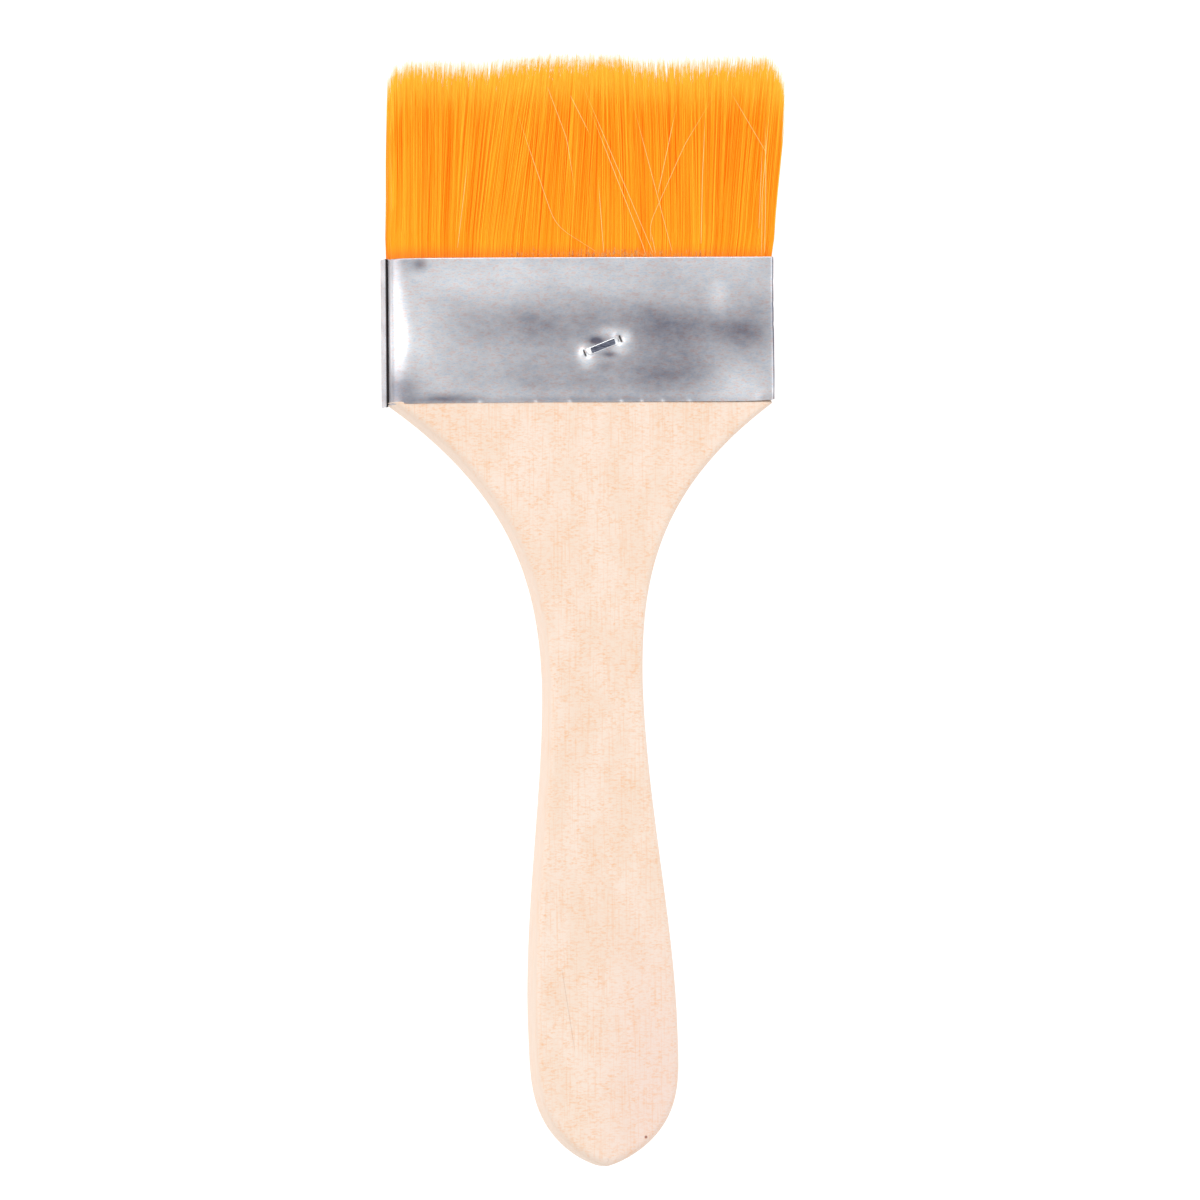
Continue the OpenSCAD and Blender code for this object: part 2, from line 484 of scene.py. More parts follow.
@dataclass(frozen=True)
class SandedBirch(Finish):
    """Bare birch, sawn flat and sanded.

    To the eye it is a pale warm skin without gloss: short ray flecks lie
    across the face, faint vessels run along it, and the narrow sides show
    long grain lines only, under a painted shade that makes them darker than the faces.
    """

    name: str = "sanded_birch"
    pale: str = "#f4e0cf"
    body: str = "#f1dac6"
    fleck: str = "#f0ae70"
    rosy: str = "#efd7cb"
    # Colour of the narrow sides: the wood darkened by a painted shade
    side: str = "#ebd5c3"
    knot: str = "#8a3c18"
    roughness: float = 0.62
    fleck_mm: tuple[float, float, float] = (0.8, 0.3, 0.8)
    vessel_mm: tuple[float, float, float] = (0.4, 12.0, 0.4)
    cloud_mm: tuple[float, float, float] = (7.0, 14.0, 7.0)
    # Patches that the ray flecks gather in
    gather_mm: tuple[float, float, float] = (3.2, 4.6, 3.2)
    # Centre of a brown pin knot in the front face near the round end, and its radius
    knot_mm: tuple[float, float, float] = (11.3, -158.2, 9.2)
    knot_radius_mm: float = 0.42
    # A hairline check in the grip: its two ends, and half its width
    check_start_mm: tuple[float, float] = (-5.5, -123.8)
    check_end_mm: tuple[float, float] = (-2.6, -142.6)
    check_half_mm: float = 0.12
    # How far the check's stain covers the wood
    check_stain: float = 0.20

    def dress(self, tree: bpy.types.NodeTree, shader: bpy.types.Node) -> None:
        """Lay flecks, vessels and clouds over the pale wood, with a pin knot and a hairline check, and paint
        shade on the narrow sides.

        Args:
            tree: The material's node tree.
            shader: Its principled shader.
        """
        place = add_node(tree, "ShaderNodeTexCoord").outputs["Object"]
        rays = self.cloud(tree, place, self.fleck_mm, 4.0)
        vessels = self.cloud(tree, place, self.vessel_mm, 3.0)
        on_face = self.spread(tree, self.facing(tree), 0.35, 0.95)
        # The narrow sides take the side colour, a painted shade
        ground = self.mix(tree, on_face, linear(self.side), self.face_ground(tree, place))
        gathered = self.spread(tree, self.cloud(tree, place, self.gather_mm, 2.0), 0.34, 0.66, (0.55, 1.2))
        patches = self.combine(tree, "MULTIPLY", gathered, on_face)
        flecks = self.spread(tree, rays, 0.42, 0.74, (0.0, 0.56))
        ray_share = self.combine(tree, "MULTIPLY", flecks, patches, clamp=True)
        flecked = self.mix(tree, ray_share, ground, linear(self.fleck))
        vessel_share = self.spread(tree, vessels, 0.50, 0.70, (0.0, 0.26))
        veined = self.mix(tree, vessel_share, flecked, linear(self.fleck))
        knotted = self.mix(tree, self.pin_knot(tree, place), veined, linear(self.knot))
        colour = self.mix(tree, self.hairline(tree, place), knotted, linear(self.knot))
        tree.links.new(colour, shader.inputs["Base Color"])
        self.emboss(tree, shader, self.combine(tree, "ADD", rays, vessels), 0.03, 0.5)
        self.roughen(tree, shader, rays, 0.06, 0.08)
        shader.inputs["Specular IOR Level"].default_value = 0.25

    def face_ground(self, tree: bpy.types.NodeTree, place: bpy.types.NodeSocket) -> bpy.types.NodeSocket:
        """Clouded ground of the two faces, rosier toward the round end and the right.

        Args:
            tree: Node tree.
            place: Place on the object.

        Returns:
            The ground's colour.
        """
        clouds = self.spread(tree, self.cloud(tree, place, self.cloud_mm, 2.0), 0.35, 0.65)
        ground = self.mix(tree, clouds, linear(self.body), linear(self.pale))
        parts = add_node(tree, "ShaderNodeSeparateXYZ", {"Vector": place})
        toward_tip = self.spread(tree, parts.outputs["Y"], -100.0 * MM, -150.0 * MM, (0.0, 0.8))
        to_right = self.spread(tree, parts.outputs["X"], -4.0 * MM, 14.0 * MM)
        return self.mix(tree, self.combine(tree, "MULTIPLY", toward_tip, to_right), ground, linear(self.rosy))

    def pin_knot(self, tree: bpy.types.NodeTree, place: bpy.types.NodeSocket) -> bpy.types.NodeSocket:
        """Pin knot: dark within a third of its radius, gone at the radius.

        Args:
            tree: Node tree.
            place: Place on the object.

        Returns:
            Share of the knot's colour.
        """
        centre = tuple(value * MM for value in self.knot_mm)
        apart = add_node(tree, "ShaderNodeVectorMath", {0: place, 1: centre}, operation="DISTANCE")
        radius = self.knot_radius_mm * MM
        return self.spread(tree, apart.outputs["Value"], radius, radius * 0.3, (0.0, 0.85))

    def hairline(self, tree: bpy.types.NodeTree, place: bpy.types.NodeSocket) -> bpy.types.NodeSocket:
        """Hairline check, from the distance along and across its line.

        Args:
            tree: Node tree.
            place: Place on the object.

        Returns:
            Share of the check's stain.
        """
        start, end = (np.array([*xy, 0.0]) * MM for xy in (self.check_start_mm, self.check_end_mm))
        run = end - start
        along, across = run / (run @ run), np.array([-run[1], run[0], 0.0]) / np.linalg.norm(run)
        moved = add_node(tree, "ShaderNodeVectorMath", {0: place, 1: tuple(start)}, operation="SUBTRACT")
        share, aside = (
            add_node(
                tree, "ShaderNodeVectorMath", {0: moved.outputs[0], 1: tuple(axis)}, operation="DOT_PRODUCT"
            ).outputs["Value"]
            for axis in (along, across)
        )
        from_middle = self.combine(tree, "ABSOLUTE", self.combine(tree, "SUBTRACT", share, 0.5))
        from_line = self.combine(tree, "ABSOLUTE", aside)
        within = self.spread(tree, from_middle, 0.5, 0.3)
        half = self.check_half_mm * MM
        dark = self.spread(tree, from_line, half, half * 0.2, (0.0, self.check_stain))
        return self.combine(tree, "MULTIPLY", within, dark)


@dataclass(frozen=True)
class TinnedSheet(Finish):
    """Thin steel sheet with a dull tin coat, folded and pressed.

    To the eye it is a soft grey mirror: cloudy where the tin has dulled and
    where reflections are painted in, bright along the bends, with painted
    shade in the crevice of the seam and in the slots past the staple's legs.
    """

    name: str = "tinned_sheet"
    bright: str = "#f8f8f9"
    dull: str = "#6f6d79"
    warm: str = "#ffc9b8"
    cool: str = "#c4dcf6"
    # Colour of the painted shade in the seam's crevice and the staple's slots
    grime: str = "#2c2423"
    roughness: float = 0.36
    spangle_mm: tuple[float, float, float] = (2.4, 1.6, 2.4)
    stipple_mm: tuple[float, float, float] = (0.9, 0.3, 0.9)

    def dress(self, tree: bpy.types.NodeTree, shader: bpy.types.Node) -> None:
        """Cloud the tin by its dulling and painted light values, and paint shade into the seam's crevice and
        the staple's slots.

        Args:
            tree: The material's node tree.
            shader: Its principled shader.
        """
        place = add_node(tree, "ShaderNodeTexCoord").outputs["Object"]
        tarnish, shade_share = (
            add_node(tree, "ShaderNodeAttribute", attribute_name=name).outputs["Fac"]
            for name in ("Tarnish", "Grime")
        )
        spangle = self.cloud(tree, place, self.spangle_mm, 4.0)
        stipple = self.cloud(tree, place, self.stipple_mm, 3.0)
        mottle = self.spread(tree, spangle, 0.3, 0.7, (-0.05, 0.05))
        cloudy = self.combine(tree, "ADD", mottle, tarnish, clamp=True)
        tin = self.mix(tree, cloudy, linear(self.bright), linear(self.dull))
        warm_share = self.spread(tree, stipple, 0.5, 0.66, (0.0, 0.42))
        rosy = self.mix(tree, warm_share, tin, linear(self.warm), "MULTIPLY")
        cool_share = self.spread(tree, stipple, 0.5, 0.34, (0.0, 0.36))
        flecked = self.mix(tree, cool_share, rosy, linear(self.cool), "MULTIPLY")
        # Painted shade: the seam's crevice and the staple's slots turn dark and lose their metal
        colour = self.mix(tree, shade_share, flecked, linear(self.grime))
        tree.links.new(colour, shader.inputs["Base Color"])
        unshaded = self.spread(tree, shade_share, 0.0, 1.0, (1.0, 0.1))
        tree.links.new(unshaded, shader.inputs["Metallic"])
        rough = self.spread(tree, cloudy, 0.0, 1.0, (self.roughness, self.roughness + 0.14))
        tree.links.new(rough, shader.inputs["Roughness"])
        self.emboss(tree, shader, stipple, 0.004, 0.35)


@dataclass(frozen=True)
class DrawnWire(Finish):
    """Flat-drawn galvanised steel wire.

    To the eye it is a dark grey flat with fine lines along the draw, between
    bright edges and bright bends; the flat's darkness is painted shade and
    the brightness of the edges and bends a painted highlight, set by which way the surface faces.
    """

    name: str = "drawn_wire"
    # Painted highlight on the edges and bends; the flat top and its streaks are painted darker as shade
    edge_highlight: str = "#ffffff"
    flat: str = "#8c8f9e"
    shade: str = "#4a4c5c"
    roughness: float = 0.2
    line_mm: tuple[float, float, float] = (1.6, 0.22, 0.6)

    def dress(self, tree: bpy.types.NodeTree, shader: bpy.types.Node) -> None:
        """Streak the wire's flat along its length with painted shade, and paint a highlight on what turns
        away from it.

        Args:
            tree: The material's node tree.
            shader: Its principled shader.
        """
        place = add_node(tree, "ShaderNodeTexCoord").outputs["Object"]
        lines = self.cloud(tree, place, self.line_mm, 3.0)
        streaked = self.mix(tree, self.spread(tree, lines, 0.4, 0.62), linear(self.flat), linear(self.shade))
        # Painted highlight where the wire turns away from its flat, painted shade on the flat
        shaded_flat = self.spread(tree, self.facing(tree), 0.955, 0.99)
        colour = self.mix(tree, shaded_flat, linear(self.edge_highlight), streaked)
        tree.links.new(colour, shader.inputs["Base Color"])
        shader.inputs["Metallic"].default_value = 1.0
        self.roughen(tree, shader, lines, 0.0, 0.12)


@dataclass(frozen=True)
class TaperedNylon(Finish):
    """Extruded orange nylon filament with a flagged, paler tip.

    To the eye it is a saturated, translucent orange that varies from strand
    to strand, darker where it leaves the resin and yellow at the flagged end;
    a painted glow, stronger toward the tip, stands in for the light that passes
    through it.
    """

    name: str = "tapered_nylon"
    deep: str = "#f78a06"
    light: str = "#fab12b"
    root: str = "#e67a2c"
    tip: str = "#fdc646"
    roughness: float = 0.45
    # Painted glow: emission that stands in for the light the strand passes on from its neighbours
    glow: float = 0.26
    # Shares of a filament's length: where root shade ends and flagging begins
    root_end: float = 0.10
    tip_start: float = 0.70
    # How far the tip's shade covers the strand's own, and how much stronger the painted glow is at the tip
    tip_share: float = 0.75
    tip_glow: float = 1.8
    # How often the streaks change across the strands' tone numbers and along a strand
    streaks: tuple[float, float] = (900.0, 0.6)

    def dress(self, tree: bpy.types.NodeTree, shader: bpy.types.Node) -> None:
        """Colour each strand by its tone number and by the place along it, and give it a painted glow.

        Args:
            tree: The material's node tree.
            shader: Its principled shader.
        """
        strand = add_node(tree, "ShaderNodeUVMap", uv_map="Strand").outputs["UV"]
        length = add_node(tree, "ShaderNodeSeparateXYZ", {"Vector": strand}).outputs["Y"]
        drawn_out = add_node(tree, "ShaderNodeMapping", {"Vector": strand, "Scale": (*self.streaks, 1.0)})
        streak = add_node(
            tree, "ShaderNodeTexNoise", {"Vector": drawn_out.outputs["Vector"], "Scale": 1.0, "Detail": 2.0}
        ).outputs["Fac"]
        body = self.mix(tree, self.spread(tree, streak, 0.3, 0.7), linear(self.deep), linear(self.light))
        root_share = self.spread(tree, length, 0.0, self.root_end, (0.8, 0.0))
        rooted = self.mix(tree, root_share, body, linear(self.root))
        tip_share = self.spread(tree, length, self.tip_start, 1.0, (0.0, self.tip_share))
        tipped = self.mix(tree, tip_share, rooted, linear(self.tip))
        tree.links.new(tipped, shader.inputs["Base Color"])
        # Painted glow: the strand's colour shines as emission, stronger toward the tip
        tree.links.new(tipped, shader.inputs["Emission Color"])
        brightening = (self.glow, self.glow * self.tip_glow)
        toward_tip = self.spread(tree, length, self.tip_start - 0.1, 1.0, brightening)
        tree.links.new(toward_tip, shader.inputs["Emission Strength"])
        self.roughen(tree, shader, streak, 0.06, 0.1)
        shader.inputs["Specular IOR Level"].default_value = 0.12


@dataclass(frozen=True)
class CastResin(Finish):
    """Cast epoxy that sets the roots, browned where it has wicked up.

    To the eye it is a dark amber lump, glossy on top and cloudy inside.
    """

    name: str = "cast_resin"
    colour: str = "#8a4a22"
    light: str = "#b5702f"
    roughness: float = 0.25
    cloud_mm: tuple[float, float, float] = (0.8, 0.8, 0.8)

    def dress(self, tree: bpy.types.NodeTree, shader: bpy.types.Node) -> None:
        """Cloud the resin between its two browns.

        Args:
            tree: The material's node tree.
            shader: Its principled shader.
        """
        place = add_node(tree, "ShaderNodeTexCoord").outputs["Object"]
        cloud = self.cloud(tree, place, self.cloud_mm, 3.0)
        colour = self.mix(tree, self.spread(tree, cloud, 0.35, 0.65), linear(self.colour), linear(self.light))
        tree.links.new(colour, shader.inputs["Base Color"])
        self.roughen(tree, shader, cloud, 0.0, 0.2)


@dataclass(frozen=True)
class SoakedRoots(Finish):
    """Packed filament roots, soaked in resin and cut square.

    To the eye it is a dense orange-brown block of fine upright lines.
    """

    name: str = "packed_roots"
    orange: str = "#e88418"
    brown: str = "#8f4a1a"
    line_mm: tuple[float, float, float] = (0.25, 12.0, 0.25)

    def dress(self, tree: bpy.types.NodeTree, shader: bpy.types.Node) -> None:
        """Draw the roots as lines along the brush.

        Args:
            tree: The material's node tree.
            shader: Its principled shader.
        """
        place = add_node(tree, "ShaderNodeTexCoord").outputs["Object"]
        lines = self.cloud(tree, place, self.line_mm, 2.0)
        colour = self.mix(tree, self.spread(tree, lines, 0.4, 0.6), linear(self.brown), linear(self.orange))
        tree.links.new(colour, shader.inputs["Base Color"])
        self.emboss(tree, shader, lines, 0.1, 0.8)
        shader.inputs["Roughness"].default_value = self.roughness


# --------------------------------------------------------------------------
# Handle
# --------------------------------------------------------------------------


@dataclass
class Handle:
    """The flat wooden handle, with the tongue that the ferrule holds."""

    length: float = 149.6
    waist_width: float = 18.9
    waist_at: float = 55.5
    grip_width: float = 28.6
    grip_at: float = 120.5
    # The centre line's lean to the right for each millimetre down, its bow and its turn back at the tip
    lean: float = 0.031
    bow: float = 0.65
    tip_shift: float = 1.0
    edge_radius: float = 1.5
    # Length of the softly pointed end
    round_length: float = 24.7
    # How far the hidden tongue is planed: share of its thickness, and off its left edge
    planed_share: float = 0.20
    planed_left: float = 1.3
    finish: Finish = SandedBirch()

    def __post_init__(self) -> None:
        """Read the tongue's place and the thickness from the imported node."""
        self.low, self.high = node_box("handle")
        self.heel = node_box("ferrule")[0][1]

    def half_width(self, s: np.ndarray) -> np.ndarray:
        """Half the width at distance s below the ferrule.

        The shoulder falls as (1-u)(1-0.7u) to the power 1.6, the grip swells
        as an S-curve with a steady share, and the end closes as one less the
        power 3.2 of the distance into it, to the power 0.76.

        Args:
            s: Distances below the ferrule.

        Returns:
            Half the width at each distance.
        """
        u = np.clip(s / self.waist_at, 0.0, 1.0)
        fall = ((1.0 - u) * (1.0 - 0.7 * u)) ** 1.6
        v = np.clip((s - self.waist_at) / (self.grip_at - self.waist_at), 0.0, 1.0)
        swell = 0.85 * smooth(v) + 0.15 * v
        closing = (1.0 - self.end_share(s) ** 3.2) ** 0.76
        waist, grip, shoulder = self.waist_width / 2.0, self.grip_width / 2.0, self.high[0]
        return (waist + (shoulder - waist) * fall + (grip - waist) * swell) * closing

    def end_share(self, s: np.ndarray) -> np.ndarray:
        """Share of the pointed end that lies above s, from 0 to 1 at the tip."""
        return np.clip((s - self.length + self.round_length) / self.round_length, 0.0, 1.0)

    def centre(self, s: np.ndarray) -> np.ndarray:
        """Sideways place of the centre line: a lean, a slight bow and a turn back at the tip."""
        return self.lean * s + self.bow * bell(s - 45.0, 34.0) - self.tip_shift * self.end_share(s) ** 3

    def outline(self, side: int, stations: int = 150) -> np.ndarray:
        """Trace one long edge from the tongue's end to the round tip.

        Args:
            side: -1 for the left edge and 1 for the right.
            stations: Number of samples below the ferrule, closer near the tip.

        Returns:
            Points as rows of x and y.
        """
        swept = self.length * np.sin(np.linspace(0.0, math.pi / 2.0, stations))
        s = np.concatenate([np.linspace(0.0, 1.2, 10), swept[swept > 1.5]])
        x = self.centre(s) + side * self.half_width(s)
        shoulder = np.stack([x, self.heel - s], 1)
        tongue_x = self.low[0] if side < 0 else self.high[0]
        # The tongue is straight, so its few rows crowd toward the heel
        rows = np.array([self.high[1], self.heel + 4.0, self.heel + 0.7, self.heel + 0.35, self.heel + 0.12])
        tongue = np.stack([np.full(5, tongue_x), rows], 1)
        return np.concatenate([tongue, shoulder])

    def build(self) -> bpy.types.Object:
        """Carry an eased rectangle down the outline and close both ends.

        Each side is a quarter round, a flat and a quarter round, moved in
        along the edge's own normal; the two faces join left to right in
        straight lines, and the end of the tongue is capped.

        Returns:
            The handle, riding on the brush.
        """
        left, right = self.outline(-1), self.outline(1)
        bottom, top = self.low[2], self.high[2]
        radius = self.edge_radius
        quarter = np.radians(np.linspace(0.0, 90.0, 9))
        inset = np.concatenate([radius * (1.0 - np.cos(quarter[::-1])), radius * (1.0 - np.cos(quarter))])
        height = np.concatenate(
            [top - radius + radius * np.sin(quarter[::-1]), bottom + radius - radius * np.sin(quarter)]
        )
        right_side = self.edge_strip(right, self.inward(right, 1), inset, height)
        left_side = self.edge_strip(left, self.inward(left, -1), inset[::-1], height[::-1])
        share = smooth(np.linspace(0.0, 1.0, 18))[1:-1]
        top_face = self.face_strip(left_side[:, -1], right_side[:, 0], share)
        bottom_face = self.face_strip(right_side[:, -1], left_side[:, 0], share)
        loops = self.ease_tongue(np.concatenate([top_face, right_side, bottom_face, left_side], 1))
        rows, columns = loops.shape[:2]
        faces = grid_faces(rows, columns, False, True).tolist()
        faces.append(list(range(columns)))
        piece = make_piece("birch_handle", loops, faces, self.finish.material(), merge=0.002)
        return ride(piece, Body.BRUSH, "birch", "handle")

    def ease_tongue(self, loops: np.ndarray) -> np.ndarray:
        """Plane the hidden tongue thinner and narrower, clear of the pressed sheet.

        Args:
            loops: Rings of points round the handle, from the tongue's end on.

        Returns:
            The same rings, planed fully from 0.65 mm above the heel on.
        """
        middle = (self.low[2] + self.high[2]) / 2.0
        rise = loops[..., 1] - self.heel
        inside = smooth((rise + 0.05) / 0.7)
        eased = loops.copy()
        eased[..., 2] = middle + (loops[..., 2] - middle) * (1.0 - self.planed_share * inside)
        to_left = smooth((self.low[0] + 5.0 - loops[..., 0]) / 5.0)
        eased[..., 0] = loops[..., 0] + self.planed_left * inside * to_left
        return eased

    def inward(self, edge: np.ndarray, side: int) -> np.ndarray:
        """Unit normals of an edge in plan, pointing into the wood.

        They are level down to the heel and turn to the true normal within
        the next 6 mm, so that rows beside the corner never cross.

        Args:
            edge: Outline of one long edge, as rows of x and y.
            side: -1 for the left edge and 1 for the right.

        Returns:
            One unit vector for each row.
        """
        along = np.gradient(edge, axis=0)
        across = unit(np.stack([side * along[:, 1], -side * along[:, 0]], 1))
        turned = smooth((self.heel - edge[:, 1]) / 6.0)[:, None]
        normals = unit(np.array([-side, 0.0]) * (1.0 - turned) + across * turned)
        # Both edges meet at the tip, where inward is straight up the handle
        normals[-1] = (0.0, 1.0)
        return normals

    @staticmethod
    def edge_strip(edge: np.ndarray, inward: np.ndarray, inset: np.ndarray, height: np.ndarray) -> np.ndarray:
        """Sweep the eased side profile along one edge.

        Args:
            edge: Outline of the edge, as rows of x and y.
            inward: Unit normal of each row.
            inset: How far each point of the profile lies inside the outline.
            height: Height of each point of the profile.

        Returns:
            Points, edge by profile by three.
        """
        plan = edge[:, None, :] + inward[:, None, :] * inset[None, :, None]
        z = np.broadcast_to(height[None, :, None], (*plan.shape[:2], 1))
        return np.concatenate([plan, z], 2)

    @staticmethod
    def face_strip(start: np.ndarray, end: np.ndarray, share: np.ndarray) -> np.ndarray:
        """Join two rows of points straight across a face."""
        return start[:, None, :] * (1.0 - share[None, :, None]) + end[:, None, :] * share[None, :, None]


# --------------------------------------------------------------------------
# Ferrule
# --------------------------------------------------------------------------


@dataclass(frozen=True)
class Blotch:
    """A soft oval patch on the ferrule's front face."""

    x: float
    y: float
    reach_x: float
    reach_y: float
    amount: float

    def at(self, x: np.ndarray, y: np.ndarray) -> np.ndarray:
        """Amount times a bell curve over the oval."""
        return self.amount * bell(x - self.x, self.reach_x) * bell(y - self.y, self.reach_y)


@dataclass
class Ferrule:
    """One strip of tinplate wrapped round the tongue and roots, locked on the left."""

    sheet: float = 0.3
    # Half widths of the long soft bend at the front left
    soft_bend: tuple[float, float] = (4.8, 1.5)
    back_bend: float = 0.6
    right_bend: float = 0.6
    # Height of the lock seam's folded edge on the left wall
    fold_z: float = 4.55
    # Clearance between the hem and the front part that runs down behind it
    hem_gap: float = 0.03
    finish: Finish = TinnedSheet()
    staple_centre: tuple[float, float] = (4.0, -3.2)
    staple_turn: float = 21.5
    staple_span: float = 7.5
    # Nicks across the heel, and kinks along the right wall
    crimps: tuple[float, ...] = (-20.7, -9.5, -2.7, 7.7, 11.8, 16.0, 21.4)
    kinks: tuple[float, ...] = (9.3, 4.9, 1.0)
    # Length of sheet that is folded in behind the lock seam's edge
    hem_length: float = 2.2
    # Duller above 0, brighter below, from the tin's own clouding and from painted reflection: the broad bands
    # first, then patches
    tarnish: tuple[Blotch, ...] = (
        Blotch(8.0, 1.0, 30.0, 6.0, 0.42),
        Blotch(-12.0, 2.0, 9.0, 4.5, 0.14),
        Blotch(20.0, -2.0, 8.0, 7.0, 0.20),
        Blotch(32.5, -0.5, 5.0, 5.0, 0.34),
        Blotch(10.0, -9.5, 20.0, 5.0, 0.30),
        Blotch(18.0, -9.0, 7.0, 4.0, 0.16),
        Blotch(-14.0, -10.0, 10.0, 5.0, 0.12),
        Blotch(31.5, -11.2, 5.5, 4.0, -0.28),
        Blotch(-18.0, 10.5, 28.0, 4.0, -0.25),
        Blotch(27.3, 6.5, 2.0, 3.0, -0.30),
        Blotch(31.0, 13.4, 5.0, 1.2, -0.15),
        # Painted shade in the dent by the mouth on the left
        Blotch(-32.6, 13.0, 1.5, 1.3, 0.60),
        Blotch(-27.5, -13.2, 5.5, 0.9, 0.42),
        Blotch(-8.0, -13.6, 20.0, 0.7, 0.10),
        # Painted highlight round the left bend's bright patch, and painted shade above and below it
        Blotch(-33.0, -0.5, 4.5, 7.5, -0.34),
        Blotch(-37.0, 12.5, 3.0, 4.0, 0.38),
        Blotch(-37.0, -11.5, 4.0, 4.6, 0.42),
        # Round the staple: painted highlights at its legs, painted shade along its sides
        Blotch(0.1, -4.5, 1.5, 1.5, -0.75),
        Blotch(0.9, -6.4, 1.8, 1.6, -0.45),
        Blotch(8.4, -1.6, 1.3, 1.2, -0.85),
        Blotch(7.4, -3.6, 1.7, 1.3, -0.45),
        Blotch(5.4, -0.4, 2.4, 1.0, -0.50),
        Blotch(2.7, -2.2, 1.5, 0.75, 0.60),
        Blotch(5.2, -4.9, 1.6, 0.55, 0.40),
        Blotch(4.6, -7.2, 3.0, 1.2, 0.10),
    )

    def __post_init__(self) -> None:
        """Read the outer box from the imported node."""
        self.low, self.high = node_box("ferrule")

    def path(self) -> np.ndarray:
        """Middle line of the sheet, from the hidden hem round to the tucked edge.

        It runs up the folded hem, over it, down the left wall, along the
        back, up the right wall, along the front, round the soft bend and down
        behind the hem.

        Returns:
            Points as rows of x and z.
        """
        half = self.sheet / 2.0
        left, right = self.low[0] + half, self.high[0] - half
        back, front = self.low[2] + half, self.high[2] - half
        hem = left + self.sheet
        top = self.fold_z - half
        behind = hem + self.sheet + self.hem_gap
        reach_x, reach_z = self.soft_bend
        bend, tight = self.back_bend, self.right_bend
        staple = self.staple_centre[0]
        across = crowded(right - tight, behind + reach_x, 250, ((staple, 5.0, 1.6), (left, 5.0, 0.8)))[1:-1]
        stretches = [
            straight((hem, top - self.hem_length), (hem, top), 0.3),
            elliptic_bend((left + half, top), (half, half), (0.0, 180.0), 9),
            straight((left, top), (left, back + bend), 0.4),
            elliptic_bend((left + bend, back + bend), (bend, bend), (180.0, 270.0), 9),
            straight((left + bend, back), (right - bend, back), 0.9),
            elliptic_bend((right - bend, back + bend), (bend, bend), (270.0, 360.0), 9),
            straight((right, back + bend), (right, front - tight), 0.5),
            elliptic_bend((right - tight, front - tight), (tight, tight), (0.0, 90.0), 11),
            np.stack([across, np.full(len(across), front)], 1),
            elliptic_bend((behind + reach_x, front - reach_z), (reach_x, reach_z), (90.0, 180.0), 22),
            straight((behind, front - reach_z), (behind, top - self.hem_length), 0.3),
        ]
        return np.concatenate(stretches)

    def rows(self) -> np.ndarray:
        """Places along the brush, closer together near the two rims and the staple."""
        low, high = self.low[1], self.high[1]
        return crowded(low, high, 96, ((low, 0.7, 2.5), (high, 0.7, 2.5), (self.staple_centre[1], 2.6, 1.3)))

    def rim_shift(self, x: np.ndarray, y: np.ndarray, z: np.ndarray) -> np.ndarray:
        """How far hand cutting and crimping move the sheet along the brush.

        Both rims run a hair uphill to the right and droop at the left end,
        the heel's right corner is knocked up, and the back part of the left
        wall hangs lower at the heel.

        Args:
            x: Places across the sheet's middle surface.
            y: Places along it.
            z: Heights of it.

        Returns:
            The shift along the brush at each place.
        """
        to_heel = smooth((self.low[1] + 9.0 - y) / 9.0)
        lean = 0.0065 * x
        from_left, from_right = x - self.low[0], self.high[0] - x
        droop = -0.22 * np.exp(-from_left / 1.3) - 0.14 * np.exp(-from_left / 8.0)
        knocked = 0.42 * np.exp(-from_right / 2.2) * to_heel * smooth((z - 4.0) / 3.0)
        hanging = -0.55 * to_heel * smooth((self.low[0] + 0.9 - x) / 0.4) * smooth((5.3 - z) / 0.6)
        on_front = smooth((z - 4.6) / 1.5)
        return lean + droop * on_front + knocked + hanging

    def relief(self, x: np.ndarray, y: np.ndarray) -> np.ndarray:
        """Height of the pressed front face above a true flat, in millimetres.

        Slow swells of a few hundredths, two pits where the staple's legs pull
        the sheet down with a trough between them, a crimped heel with nicks,
        a dent by the mouth on the left and one in the heel's right corner.

        Args:
            x: Places across.
            y: Places along.

        Returns:
            The height at each place.
        """
        inside = smooth((x - self.low[0] - 2.0) / 4.0) * smooth((self.high[0] - 0.6 - x) / 3.0)
        height = 0.045 * drift(x, y, (34.0, 22.0), 5) * inside
        height = height - 0.10 * inside * bell(y - 2.0, 6.0) * smooth((x + 30.0) / 20.0)
        along, across = self.staple_axes(x, y)
        leg = self.staple_span / 2.0 - 0.2
        pits = np.exp(-((np.abs(along) - leg) ** 2 + across**2) / 1.15**2)
        trough = np.exp(-((across / 0.9) ** 2)) * smooth((leg + 0.4 - np.abs(along)) / 0.8)
        height = height - 0.50 * pits - 0.16 * trough + 0.10 * np.exp(-(along**2 + across**2) / 5.2**2)
        heel = y - self.low[1]
        height = height - 0.15 * np.exp(-heel / 0.5) * inside
        nicks = sum(bell(x - place, 0.45) for place in self.crimps)
        height = height - 0.09 * nicks * np.exp(-((heel / 0.9) ** 2))
        dent = Blotch(-34.1, 13.3, 1.2, 1.1, -0.20).at(x, y)
        corner = Blotch(36.4, -13.6, 1.6, 1.0, -0.18).at(x, y)
        rim = -0.10 * np.exp(-(self.high[1] - y) / 0.5) * inside
        return height + dent + corner + rim

